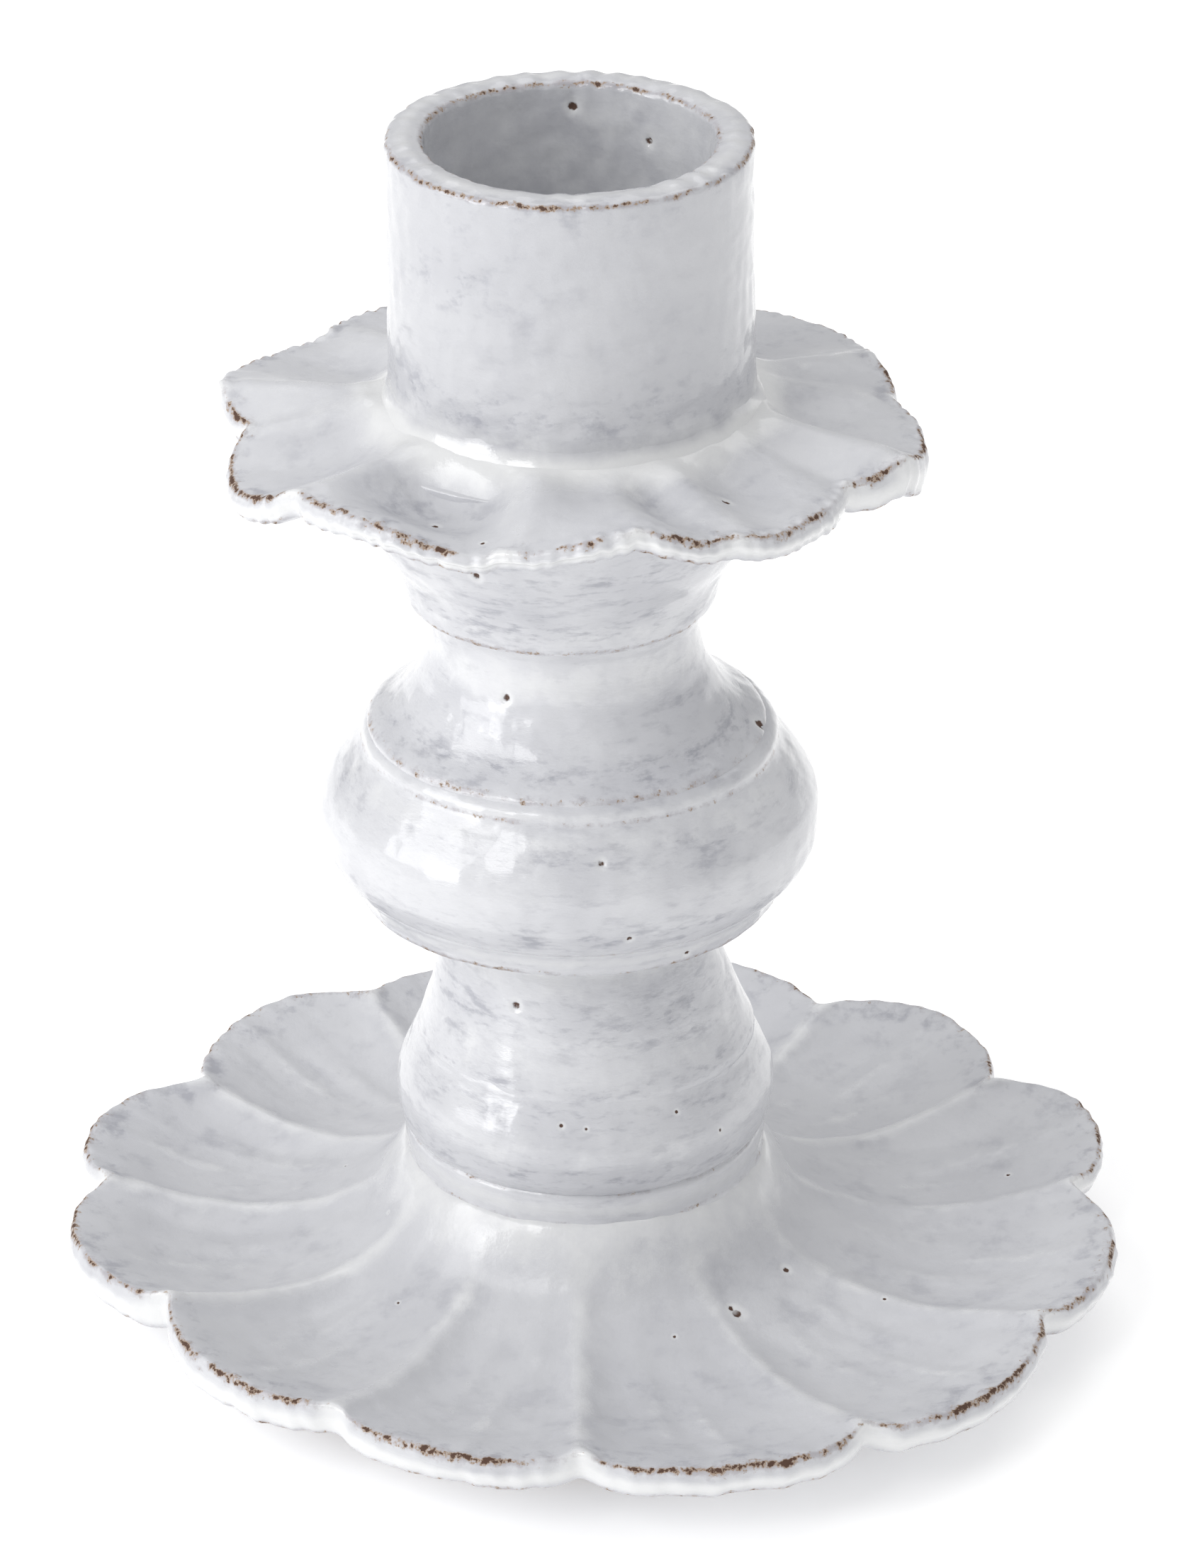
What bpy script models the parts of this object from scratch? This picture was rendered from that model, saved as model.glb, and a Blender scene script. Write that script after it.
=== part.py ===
"""A small glazed clay candlestick: a petalled dish, a hollow turned stem, a petalled drip pan and a candle cup.

The potter throws or rolls each member by itself and joins them with slip, from the foot up. Each member
is one object here. Members that touch keep the slip layer's gap between them. Metres, +Z up. The origin
is on the ground under the middle of the dish.
"""

import math

import bmesh
import bpy
from mathutils import Vector

OBJECT_NAME = "glazed_candlestick"

# Joints
SLIP_GAP = 0.0003
TURN_STEPS = 36

# Foot ring, under the dish's well
FOOT_RING_W = 0.0060

# Base dish: heights are those of the top face above the ground
DISH_TIP_R = 0.0506
DISH_NOTCH = 0.0042
DISH_WALL = 0.0030
DISH_SEAT_Z = 0.0126
DISH_WELL_R = 0.0332
DISH_WELL_Z = 0.0062
DISH_RIM_Z = 0.0096
DISH_SCOOP = 0.0009
DISH_VENT_R = 0.0095
DISH_TILT = 0.0009
DISH_TILT_DEG = 215.0
DISH_SPLITS_DEG = (3.0, 29.0, 58.5, 89.0, 120.0, 150.0, 177.0, 210.0, 239.0, 268.5, 300.5, 332.0)
DISH_STEPS_ROUND = 96
DISH_STEPS_OUT = 8

# Stem members, from the foot up: heights, and the radii at which neighbours meet
FOOT_COIL_H = 0.0051
BULB_H = 0.0093
LOWER_NECK_H = 0.0139
KNOP_BASE_H = 0.0037
KNOP_H = 0.0145
SHOULDER_H = 0.0117
COLLAR_H = 0.0151
FOOT_JOINT_R = 0.0172
BULB_FOOT_R = 0.0167
BULB_TOP_R = 0.0158
NECK_TOP_R = 0.0119
KNOP_STEP_R = 0.0208
SHOULDER_R = 0.0188
COLLAR_FOOT_R = 0.0131
COLLAR_TOP_R = 0.0200
BULB_R = 0.0179
KNOP_R = 0.0232
KNOP_RIDGE_R = 0.0199
UPPER_NECK_R = 0.0123
WALL = 0.0034
KNOP_VENT_R = 0.0055

# The members don't stand on one line: each is a little to one side, as joined by hand
DISH_X = 0.0
LOWER_STEM_X = -0.0010
UPPER_STEM_X = -0.0024
TOP_X = -0.0021

# Drip pan
PAN_TIP_R = 0.0322
PAN_NOTCH = 0.0024
PAN_WALL = 0.0031
PAN_DROP = 0.0014
PAN_SCOOP = 0.0016
PAN_LIP = 0.0010
PAN_SPLITS_DEG = (10.0, 26.0, 65.0, 104.0, 139.0, 184.0, 222.0, 259.0, 298.0, 330.0)
PAN_STEPS_ROUND = 80
PAN_STEPS_OUT = 6

# Candle cup
BORE_R = 0.0130
CUP_WALL = 0.0033
CUP_FLOOR = 0.0035
CUP_H = 0.0257
LIP_ROUND = 0.0012
COIL_FOOT_W = 0.0036
COIL_TOP_W = 0.0009
COIL_H = 0.0024

# Glaze
GLAZE_COLOUR = (0.80, 0.81, 0.83, 1.0)
GLAZE_ROUGHNESS = 0.18


def clear_scene():
    """Removes every object of the open scene."""
    for old in list(bpy.data.objects):
        bpy.data.objects.remove(old, do_unlink=True)


def glaze(name):
    """A plain milky glaze for one member."""
    material = bpy.data.materials.new(name + "_glaze")
    material.use_nodes = True
    shader = material.node_tree.nodes["Principled BSDF"]
    shader.inputs["Base Color"].default_value = GLAZE_COLOUR
    shader.inputs["Roughness"].default_value = GLAZE_ROUGHNESS
    shader.inputs["Metallic"].default_value = 0.0
    return material


def add_object(name, mesh, collection):
    """Links a mesh to the scene under its own name and gives it its glaze."""
    member = bpy.data.objects.new(name, mesh)
    collection.objects.link(member)
    member.data.materials.append(glaze(name))
    return member


def arc(centre_r, centre_z, radius, start_deg, end_deg, steps):
    """Points along a circular arc of a profile, from one angle to the other."""
    turn = [math.radians(start_deg + (end_deg - start_deg) * i / steps) for i in range(steps + 1)]
    return [(centre_r + radius * math.cos(a), centre_z + radius * math.sin(a)) for a in turn]


def curve_through(points, per_span=2):
    """A smooth Catmull-Rom line through hand-chosen points, ends included."""
    ends = [points[0], *points, points[-1]]
    line = []
    for a, b, c, d in zip(ends, ends[1:], ends[2:], ends[3:]):
        for i in range(per_span):
            t = i / per_span
            line.append(tuple(
                0.5 * (2 * q + (r - p) * t + (2 * p - 5 * q + 4 * r - s) * t**2 + (3 * q - p - 3 * r + s) * t**3)
                for p, q, r, s in zip(a, b, c, d)
            ))
    return [*line, points[-1]]


def turned(name, outer, inner, collection, centre_x=0.0, centre_z=0.0):
    """A member thrown on the wheel: its closed profile, outer side down and inner side up, turned round."""
    profile = [*outer, *inner]
    mesh = bpy.data.meshes.new(name)
    count = len(profile)
    mesh.from_pydata([(r, 0.0, z) for r, z in profile], [(i, (i + 1) % count) for i in range(count)], [])
    member = add_object(name, mesh, collection)
    member.location = (centre_x, 0.0, centre_z)
    screw = member.modifiers.new("Turn", "SCREW")
    screw.axis = "Z"
    screw.steps = TURN_STEPS
    screw.render_steps = TURN_STEPS
    screw.use_merge_vertices = True
    screw.merge_threshold = 0.00001
    screw.use_smooth_shade = True
    return member


def stem_member(name, height, outline, base_z, collection, centre_x, bore_r=None):
    """One stem member. outline holds (radius, share of the height) from the foot to the top.

    Its hollow follows the outside a wall's width in, or is a plain hole of radius bore_r.
    """
    outside = [(r, height * share) for r, share in outline]
    inside = [(bore_r, 0.0), (bore_r, height)] if bore_r else [(r - WALL, z) for r, z in outside]
    return turned(name, curve_through(outside[::-1]), inside, collection, centre_x, base_z)


def petal_place(angle_deg, splits_deg):
    """How far round its petal an angle lies: 0 at one split, 1 at the next."""
    angle = angle_deg % 360.0
    for i, start in enumerate(splits_deg):
        width = (splits_deg[(i + 1) % len(splits_deg)] - start) % 360.0
        into = (angle - start) % 360.0
        if into < width:
            return into / width
    return 0.0


def ease(t):
    """A smooth step from 0 to 1."""
    t = min(1.0, max(0.0, t))
    return t * t * (3 - 2 * t)


def petal_angles(splits_deg, steps):
    """Angles all round, shared out so that each split has a point of its own."""
    angles = []
    count = len(splits_deg)
    per_petal = steps // count
    for i, start in enumerate(splits_deg):
        width = (splits_deg[(i + 1) % count] - start) % 360.0
        angles += [start + width * j / per_petal for j in range(per_petal)]
    return angles


def petalled_plate(name, centres_x, splits_deg, steps, radii, notch, wall, height_at, collection):
    """A pressed plate with petals. A grid is wrapped round the axis, shaped by height_at, and given a wall.

    centres_x are the centres of the seat and of the rim. radii are those of the middle's hole, the flat seat
    and the petal tips. height_at(share, place in petal, angle in degrees) is the height of the top face, and
    share is the way out from the seat to the petal's own edge.
    """
    round_steps, out_steps = steps
    hole_r, seat_r, tip_r = radii
    angles = petal_angles(splits_deg, round_steps)
    round_steps = len(angles)
    angles.append(angles[0] + 360.0)
    shape = bmesh.new()
    bmesh.ops.create_grid(shape, x_segments=round_steps, y_segments=out_steps, size=1.0)
    for vert in shape.verts:
        angle = angles[round((1 - vert.co.x) / 2 * round_steps)]
        row = round((vert.co.y + 1) / 2 * out_steps)
        share = max(0.0, (row - 1) / (out_steps - 1))
        into = petal_place(angle, splits_deg)
        edge_r = tip_r - notch * (1 - math.sin(math.pi * into) ** 0.7)
        radius = seat_r + (edge_r - seat_r) * share if row else hole_r
        centre_x = centres_x[0] + (centres_x[1] - centres_x[0]) * share
        turn = math.radians(angle)
        vert.co = Vector((
            centre_x + radius * math.cos(turn),
            radius * math.sin(turn),
            height_at(share, into, angle),
        ))
    bmesh.ops.remove_doubles(shape, verts=shape.verts, dist=0.00001)
    bmesh.ops.recalc_face_normals(shape, faces=shape.faces)
    if sum(face.normal.z for face in shape.faces) < 0:
        bmesh.ops.reverse_faces(shape, faces=shape.faces)
    mesh = bpy.data.meshes.new(name)
    shape.to_mesh(mesh)
    shape.free()
    mesh.shade_smooth()
    plate = add_object(name, mesh, collection)
    shell = plate.modifiers.new("Wall", "SOLIDIFY")
    shell.thickness = wall
    shell.offset = -1.0
    return plate


def dish_well_share():
    """How far out the well lies, between the dish's seat and its rim."""
    return (DISH_WELL_R - FOOT_JOINT_R) / (DISH_TIP_R - FOOT_JOINT_R)


def dish_top(share, into, angle_deg):
    """Height of the dish: a trumpet down from the seat to the well, then up to the rim, with scooped petals."""
    well_share = dish_well_share()
    to_well = min(1.0, share / well_share)
    past_well = max(0.0, (share - well_share) / (1 - well_share))
    height = DISH_SEAT_Z + (DISH_WELL_Z - DISH_SEAT_Z) * (1 - (1 - to_well) ** 3)
    height += (DISH_RIM_Z - DISH_WELL_Z) * past_well**1.5
    height -= DISH_SCOOP * math.sin(math.pi * into) * ease(share / 0.4)
    return height + DISH_TILT * math.cos(math.radians(angle_deg - DISH_TILT_DEG)) * ease(past_well)


def pan_top_above(seat_z):
    """The height of the pan's top face, for a pan whose seat is at seat_z."""

    def height_at(share, into, angle_deg):
        scoop = PAN_SCOOP * math.sin(math.pi * into) * ease(share * 1.6)
        return seat_z - PAN_DROP * share - scoop + PAN_LIP * share**2

    return height_at


def build_foot(collection):
    """The dish, and the foot ring that fills the height between the ground and the dish's well."""
    petalled_plate(
        "base_dish", (LOWER_STEM_X, DISH_X), DISH_SPLITS_DEG, (DISH_STEPS_ROUND, DISH_STEPS_OUT),
        (DISH_VENT_R, FOOT_JOINT_R, DISH_TIP_R), DISH_NOTCH, DISH_WALL, dish_top, collection,
    )
    ring_x = LOWER_STEM_X + (DISH_X - LOWER_STEM_X) * dish_well_share()
    ring_top = DISH_WELL_Z - DISH_SCOOP - DISH_WALL - SLIP_GAP
    outer_r = DISH_WELL_R + FOOT_RING_W / 2
    inner_r = DISH_WELL_R - FOOT_RING_W / 2
    turned(
        "foot_ring", [(outer_r, ring_top), (outer_r, 0.0)], [(inner_r, 0.0), (inner_r, ring_top)],
        collection, ring_x,
    )


def build_stem(collection):
    """The turned members from the dish up to the pan. Returns the height of the stem's top."""
    members = (
        ("stem_foot_coil", FOOT_COIL_H, LOWER_STEM_X, None, (
            (FOOT_JOINT_R, 0.0), (BULB_FOOT_R - 0.0003, 0.4), (BULB_FOOT_R + 0.0003, 0.75), (BULB_FOOT_R, 1.0))),
        ("lower_bulb", BULB_H, LOWER_STEM_X, None, (
            (BULB_FOOT_R, 0.0), (BULB_R - 0.0003, 0.2), (BULB_R, 0.45), (BULB_R - 0.0006, 0.75), (BULB_TOP_R, 1.0))),
        ("lower_neck", LOWER_NECK_H, LOWER_STEM_X, None, (
            (BULB_TOP_R, 0.0), (BULB_TOP_R - 0.0018, 0.4), (NECK_TOP_R + 0.0006, 0.8), (NECK_TOP_R, 1.0))),
        ("knop_base", KNOP_BASE_H, UPPER_STEM_X, KNOP_VENT_R, (
            (NECK_TOP_R, 0.0), (KNOP_RIDGE_R - 0.0030, 0.18), (KNOP_RIDGE_R, 0.45), (KNOP_STEP_R, 1.0))),
        ("main_knop", KNOP_H, UPPER_STEM_X, None, (
            (KNOP_STEP_R, 0.0), (KNOP_R - 0.0006, 0.16), (KNOP_R, 0.36), (KNOP_R - 0.0006, 0.53),
            (KNOP_R - 0.0024, 0.72), (SHOULDER_R + 0.0009, 0.93), (SHOULDER_R, 1.0))),
        ("shoulder_bell", SHOULDER_H, UPPER_STEM_X, None, (
            (SHOULDER_R, 0.0), (SHOULDER_R - 0.0034, 0.18), (UPPER_NECK_R + 0.0011, 0.38),
            (UPPER_NECK_R, 0.72), (COLLAR_FOOT_R, 1.0))),
        ("collar_bell", COLLAR_H, UPPER_STEM_X, None, (
            (COLLAR_FOOT_R, 0.0), (COLLAR_FOOT_R + 0.0012, 0.08), (COLLAR_FOOT_R + 0.0023, 0.27),
            (COLLAR_TOP_R - 0.0018, 0.55), (COLLAR_TOP_R, 1.0))),
    )
    base_z = DISH_SEAT_Z + SLIP_GAP
    for name, height, centre_x, bore_r, outline in members:
        stem_member(name, height, outline, base_z, collection, centre_x, bore_r)
        base_z += height + SLIP_GAP
    return base_z - SLIP_GAP


def build_top(stem_top, collection):
    """The drip pan on the stem, the cup on the pan, and the coil of clay smoothed round the cup's foot."""
    pan_z = stem_top + SLIP_GAP + PAN_WALL
    cup_r = BORE_R + CUP_WALL
    coil_r = cup_r + SLIP_GAP
    pan_seat_r = coil_r + COIL_FOOT_W
    petalled_plate(
        "drip_pan", (TOP_X, TOP_X), PAN_SPLITS_DEG, (PAN_STEPS_ROUND, PAN_STEPS_OUT),
        (0.0, pan_seat_r, PAN_TIP_R), PAN_NOTCH, PAN_WALL, pan_top_above(pan_z), collection,
    )
    foot_z = pan_z + SLIP_GAP
    outer_lip = arc(cup_r - LIP_ROUND, CUP_H - LIP_ROUND, LIP_ROUND, 90.0, 0.0, 3)
    inner_lip = arc(BORE_R + LIP_ROUND, CUP_H - LIP_ROUND, LIP_ROUND, 180.0, 90.0, 3)
    floor = [(0.0, CUP_FLOOR), (BORE_R, CUP_FLOOR)]
    turned("candle_cup", [*outer_lip, (cup_r, 0.0)], [(0.0, 0.0), *floor, *inner_lip], collection, TOP_X, foot_z)
    turned(
        "cup_joint_coil",
        curve_through([
            (coil_r + COIL_TOP_W, COIL_H), (coil_r + COIL_TOP_W * 1.6, COIL_H * 0.4), (coil_r + COIL_FOOT_W, 0.0)]),
        [(coil_r, 0.0), (coil_r, COIL_H)],
        collection,
        TOP_X,
        foot_z,
    )


def main():
    """Builds the whole candlestick."""
    clear_scene()
    collection = bpy.data.collections.new(OBJECT_NAME)
    bpy.context.scene.collection.children.link(collection)
    build_foot(collection)
    stem_top = build_stem(collection)
    build_top(stem_top, collection)


main()
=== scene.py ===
"""The looks of a hand-made clay candlestick in milky glaze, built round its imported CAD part.

A petalled dish stands on a bare foot ring. On it come the turned members of a baluster stem, then a
petalled drip pan, and on the pan a straight cup for the candle. Every member is one closed surface worked
out with numpy: turned members carry a profile round a leaning axis, and the petalled plates are a height
over turn and reach. Sizes are in millimetres, heights are above the ground, and angles are in degrees from
+X towards +Y. The meshes are written in metres.
"""

import logging
import math
from dataclasses import dataclass, replace
from enum import Enum
from typing import Optional, Sequence

import bpy
import numpy as np
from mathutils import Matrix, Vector


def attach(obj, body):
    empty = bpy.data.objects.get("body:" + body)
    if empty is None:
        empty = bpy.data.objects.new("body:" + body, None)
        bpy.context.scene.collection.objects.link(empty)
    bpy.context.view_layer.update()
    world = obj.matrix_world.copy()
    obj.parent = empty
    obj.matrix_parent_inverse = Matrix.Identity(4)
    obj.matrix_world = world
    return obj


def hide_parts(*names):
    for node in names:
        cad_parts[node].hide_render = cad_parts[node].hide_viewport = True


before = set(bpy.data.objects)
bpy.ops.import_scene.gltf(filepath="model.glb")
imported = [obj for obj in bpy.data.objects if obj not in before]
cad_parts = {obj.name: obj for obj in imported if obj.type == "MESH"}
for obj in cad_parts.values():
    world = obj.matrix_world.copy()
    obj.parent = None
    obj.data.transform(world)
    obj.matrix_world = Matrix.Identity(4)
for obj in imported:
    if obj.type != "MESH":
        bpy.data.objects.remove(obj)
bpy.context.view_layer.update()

MM = 0.001
Array = np.ndarray
Points = Sequence[tuple[float, float]]
Colour = tuple[float, float, float, float]
Socket = bpy.types.NodeSocket

log = logging.getLogger("candlestick")


# Numbers that shape clay


def ease(x: Array) -> Array:
    """A smooth step: 3x^2 - 2x^3, held at 0 and 1 outside."""
    x = np.clip(x, 0.0, 1.0)
    return x * x * (3.0 - 2.0 * x)


def bump(x: Array, centre: float, width: float) -> Array:
    """A bell one high: exp(-((x - centre) / width)^2)."""
    return np.exp(-(((x - centre) / width) ** 2))


def line_through(points: Points, step: float) -> Array:
    """A Catmull-Rom line through given points, respaced evenly along its own length.

    Args:
        points: (radius, height) pairs in millimetres, in order.
        step: wanted distance between neighbouring points of the result.

    Returns:
        An array of (radius, height) rows, both ends included.
    """
    knots = np.array([points[0], *points, points[-1]], float)
    t = np.linspace(0.0, 1.0, 24, endpoint=False)[:, None, None]
    a, b, c, d = knots[:-3], knots[1:-2], knots[2:-1], knots[3:]
    curved = (2 * a - 5 * b + 4 * c - d) * t**2 + (3 * b - a - 3 * c + d) * t**3
    spans = 0.5 * (2 * b + (c - a) * t + curved)
    dense = np.concatenate([spans.transpose(1, 0, 2).reshape(-1, 2), knots[-1:]])
    run = np.concatenate([[0.0], np.cumsum(np.hypot(*np.diff(dense, axis=0).T))])
    even = np.linspace(0.0, run[-1], max(2, round(run[-1] / step) + 1))
    return np.column_stack([np.interp(even, run, dense[:, 0]), np.interp(even, run, dense[:, 1])])


def round_corner(centre: tuple[float, float], radius: float, start: float, end: float, count: int) -> Array:
    """Points on a circular arc of a profile, from the start angle to the end angle in degrees."""
    turn = np.radians(np.linspace(start, end, count))
    return np.column_stack([centre[0] + radius * np.cos(turn), centre[1] + radius * np.sin(turn)])


def full_turn(columns: int) -> Array:
    """The angles of a grid's columns, as one row in radians."""
    return np.linspace(0.0, 2.0 * math.pi, columns, endpoint=False)[None, :]


def carried_round(axis_x: Array | float, radius: Array, turn: Array, height: Array) -> Array:
    """Places round an upright axis: (axis_x + radius cos(turn), radius sin(turn), height)."""
    across = axis_x + radius * np.cos(turn)
    return np.stack(np.broadcast_arrays(across, radius * np.sin(turn), height), axis=-1)


def hand_wobble(
    turn: Array, height: Array | float, seed: int, size: float, climb: float = 14.0, most: int = 6
) -> Array:
    """The slow unevenness that hands leave on a turned wall.

    It is a sum of waves, each with a whole number of lobes round and its own slope up the wall, weaker as
    the lobes grow in number.

    Args:
        turn: angles round the axis, in radians.
        height: heights in millimetres.
        seed: picks the waves.
        size: rough amplitude in millimetres.
        climb: height in which a wave may turn through one cycle.
        most: largest number of lobes.

    Returns:
        The offset of each point, in millimetres.
    """
    rng = np.random.default_rng(seed)
    total = np.zeros(np.broadcast(turn, height).shape)
    for lobes in range(1, most + 1):
        phase = rng.uniform(0.0, 2.0 * math.pi)
        slope = rng.uniform(-1.0, 1.0) * 2.0 * math.pi / climb
        total += np.sin(lobes * turn + slope * height + phase) / lobes**0.8
    return size * total / 1.8


def throwing_rings(turn: Array, height: Array, seed: int, size: float) -> Array:
    """Fine ridges left by the fingers: three waves of height that climb slowly round, fading in and out."""
    rng = np.random.default_rng(seed)
    total = np.zeros(np.broadcast(turn, height).shape)
    for pitch, share in ((4.3, 1.0), (2.3, 0.7), (1.2, 0.25)):
        phase, fade = rng.uniform(0.0, 2.0 * math.pi, 2)
        strength = 0.5 + 0.5 * np.sin(2.0 * turn + fade + 0.35 * height)
        total += share * strength * np.sin(2.0 * math.pi * height / pitch + turn + phase)
    return size * total


def ripples(turn: Array, seed: int, size: float, fewest: int, most: int) -> Array:
    """Crowded small waves round the axis: sixteen, each with a number of lobes between two limits."""
    rng = np.random.default_rng(seed)
    total = np.zeros(turn.shape)
    for lobes in rng.integers(fewest, most, 16):
        total += np.sin(lobes * turn + rng.uniform(0.0, 2.0 * math.pi))
    return size * total / 4.0


def dimples(places: Array, seed: int, size: float, wave: float) -> Array:
    """Soft dents in a surface: twelve waves through space, of any direction and about the given length."""
    rng = np.random.default_rng(seed)
    total = np.zeros(places.shape[:-1])
    for heading in rng.normal(size=(12, 3)):
        number = 2.0 * math.pi / (wave * rng.uniform(0.7, 1.5)) / np.linalg.norm(heading)
        total += np.sin(number * (places @ heading) + rng.uniform(0.0, 2.0 * math.pi))
    return size * total / 3.5


def soften(values: Array, width: Array) -> Array:
    """Smooths values given evenly round a full turn, on the last axis, with a bell so many degrees wide."""
    waves = np.fft.rfft(values)
    number = np.arange(waves.shape[-1])
    return np.fft.irfft(waves * np.exp(-0.5 * (number * np.radians(width)) ** 2), values.shape[-1])


# Meshes


@dataclass
class Skin:
    """A closed surface as a grid: rows run along the profile and columns run round the axis.

    places holds (x, y, z) in millimetres for each row and column. marks holds one number a point for each
    name: how much the glaze broke off (edge), lies thick (pool) or lies thin (thin) there, and on the
    petalled plates pool also holds a painted highlight on the ribs and thin a painted shade in the hollows.
    poles says that the first and last rows are closed with fans, and holes holds the burst bubbles that were
    pressed in.
    """

    name: str
    places: Array
    marks: dict[str, Array]
    poles: bool
    holes: tuple["Pinhole", ...] = ()

    def faces(self) -> Array:
        """Quads between neighbours. Columns wrap round, and so do rows where there are no poles."""
        rows, columns = self.places.shape[:2]
        bands = np.arange(rows - 1 if self.poles else rows)
        row, column = np.meshgrid(bands, np.arange(columns), indexing="ij")
        here, below = row * columns, (row + 1) % rows * columns
        after = (column + 1) % columns
        return np.stack((here + column, below + column, below + after, here + after), axis=-1).reshape(-1, 4)

    def build(self) -> bpy.types.Object:
        """Makes the object at the origin: faces outwards, poles closed, and the marks as attributes."""
        rows, columns = self.places.shape[:2]
        points = self.places.reshape(-1, 3) * MM
        quads = self.faces()
        a, b, c, d = (points[quads[:, i]] for i in range(4))
        volume = np.einsum("ij,ij->", a, np.cross(b, c)) + np.einsum("ij,ij->", a, np.cross(c, d))
        if volume < 0:
            quads = quads[:, ::-1]
        loops = quads.tolist()
        marks = {name: values.reshape(-1) for name, values in self.marks.items()}
        if self.poles:
            first = list(range(columns))
            last = list(range((rows - 1) * columns, rows * columns))
            loops += self.caps(points, first, last, volume < 0)
            points = np.concatenate([points, [points[first].mean(axis=0), points[last].mean(axis=0)]])
            marks = {name: np.concatenate([values, [0.0, 0.0]]) for name, values in marks.items()}
        mesh = bpy.data.meshes.new(self.name)
        mesh.from_pydata(points.tolist(), [], loops)
        mesh.shade_smooth()
        for name, values in marks.items():
            mark = mesh.attributes.new(name, "FLOAT", "POINT")
            mark.data.foreach_set("value", values.astype(np.float32))
        mesh.update()
        piece = bpy.data.objects.new(self.name, mesh)
        bpy.context.scene.collection.objects.link(piece)
        return piece

    def caps(self, points: Array, first: list[int], last: list[int], flipped: bool) -> list[list[int]]:
        """Fans of triangles from the first and the last row to a point in the middle of each."""
        top, bottom = len(points), len(points) + 1
        fans = [[top, i, j] for i, j in zip(first, first[1:] + first[:1])]
        fans += [[bottom, j, i] for i, j in zip(last, last[1:] + last[:1])]
        return [fan[::-1] for fan in fans] if flipped else fans


def settled(places: Array, holes: Sequence["Pinhole"]) -> tuple["Pinhole", ...]:
    """The same holes, each moved to the point of the surface that lies nearest."""
    points = places.reshape(-1, 3)
    nearest = [points[np.argmin(np.linalg.norm(points - np.array(hole.centre), axis=1))] for hole in holes]
    return tuple(replace(hole, centre=tuple(map(float, point))) for hole, point in zip(holes, nearest))


def pits_at(places: Array, holes: Sequence["Pinhole"]) -> Array:
    """Depth of the small burst bubbles at each point of a surface: a bell round each hole's centre."""
    depth = np.zeros(places.shape[:-1])
    for hole in holes:
        away = np.linalg.norm(places - np.array(hole.centre), axis=-1)
        depth += hole.depth * np.exp(-((away / (1.1 * hole.radius)) ** 2))
    return depth


def pushed_in(places: Array, depth: Array) -> Array:
    """Moves the points of a grid inwards, against the surface's own outward direction.

    The direction is the cross product of the steps to the neighbouring columns and rows.
    """
    along = np.gradient(places, axis=0)
    round_ = np.roll(places, -1, axis=1) - np.roll(places, 1, axis=1)
    normal = np.cross(round_, along)
    length = np.linalg.norm(normal, axis=-1, keepdims=True)
    normal = normal / np.where(length > 0, length, 1.0)
    middle = places.reshape(-1, 3).mean(axis=0)
    sign = 1.0 if np.sum((places - middle) * normal) > 0 else -1.0
    return places - sign * normal * depth[..., None]


# Finishes


class Slot(Enum):
    """The part's material slots."""

    GLAZE = "white_glaze"
    CLAY = "bare_clay"


@dataclass(frozen=True)
class Pinhole:
    """A bubble that burst in the glaze: its place, and its radius and depth, in millimetres."""

    centre: tuple[float, float, float]
    radius: float = 0.32
    depth: float = 0.25


class Tree:
    """Adds nodes to one node tree and joins them."""

    def __init__(self, tree: bpy.types.NodeTree) -> None:
        """Keeps the tree and starts from no nodes."""
        self.tree = tree
        tree.nodes.clear()

    def add(self, kind: str, inputs: Optional[dict] = None, **settings: object) -> bpy.types.Node:
        """Adds one node.

        Args:
            kind: the node's type name without its ShaderNode prefix, or in full for a group's ends.
            inputs: values or sockets by input name or number.
            settings: properties of the node itself.

        Returns:
            The new node.
        """
        node = self.tree.nodes.new(kind if kind.startswith("Node") else "ShaderNode" + kind)
        for name, value in settings.items():
            setattr(node, name, value)
        self.feed(node, inputs or {})
        return node

    def feed(self, node: bpy.types.Node, inputs: dict) -> None:
        """Joins each named or numbered input to an output, or sets its own value."""
        for name, value in inputs.items():
            if isinstance(value, Socket):
                self.tree.links.new(value, node.inputs[name])
            else:
                node.inputs[name].default_value = value

    def math(self, operation: str, *values: object, clamp: bool = False) -> Socket:
        """The result of one Math node."""
        node = self.add("Math", dict(enumerate(values)), operation=operation, use_clamp=clamp)
        return node.outputs[0]

    def plus(self, first: object, second: object, clamp: bool = False) -> Socket:
        """The sum of two numbers."""
        return self.math("ADD", first, second, clamp=clamp)

    def minus(self, first: object, second: object, clamp: bool = False) -> Socket:
        """The first number less the second."""
        return self.math("SUBTRACT", first, second, clamp=clamp)

    def times(self, first: object, second: object) -> Socket:
        """The product of two numbers."""
        return self.math("MULTIPLY", first, second)

    def centred(self, value: object, size: float) -> Socket:
        """A noise's value less its middle, times a size."""
        return self.times(self.minus(value, 0.5), size)

    def mix(self, factor: object, first: object, second: object) -> Socket:
        """Two colours mixed by a factor. A Mix node's colours are its inputs 6 and 7 and its output 2."""
        node = self.add("Mix", {0: factor, 6: first, 7: second}, data_type="RGBA", clamp_factor=True)
        return node.outputs[2]

    def spread(self, value: object, low: float, high: float) -> Socket:
        """A value taken from low..high to 0..1 by a smooth step."""
        inputs = {"Value": value, "From Min": low, "From Max": high}
        node = self.add("MapRange", inputs, interpolation_type="SMOOTHSTEP")
        return node.outputs[0]

    def noise(self, vector: object, scale: float, detail: float, roughness: float = 0.5) -> Socket:
        """The value of a Noise texture."""
        inputs = {"Vector": vector, "Scale": scale, "Detail": detail, "Roughness": roughness}
        return self.add("TexNoise", inputs).outputs[0]

    def mark(self, name: str) -> Socket:
        """The mesh's own mark of that name."""
        return self.add("Attribute", attribute_name=name).outputs["Fac"]


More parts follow.
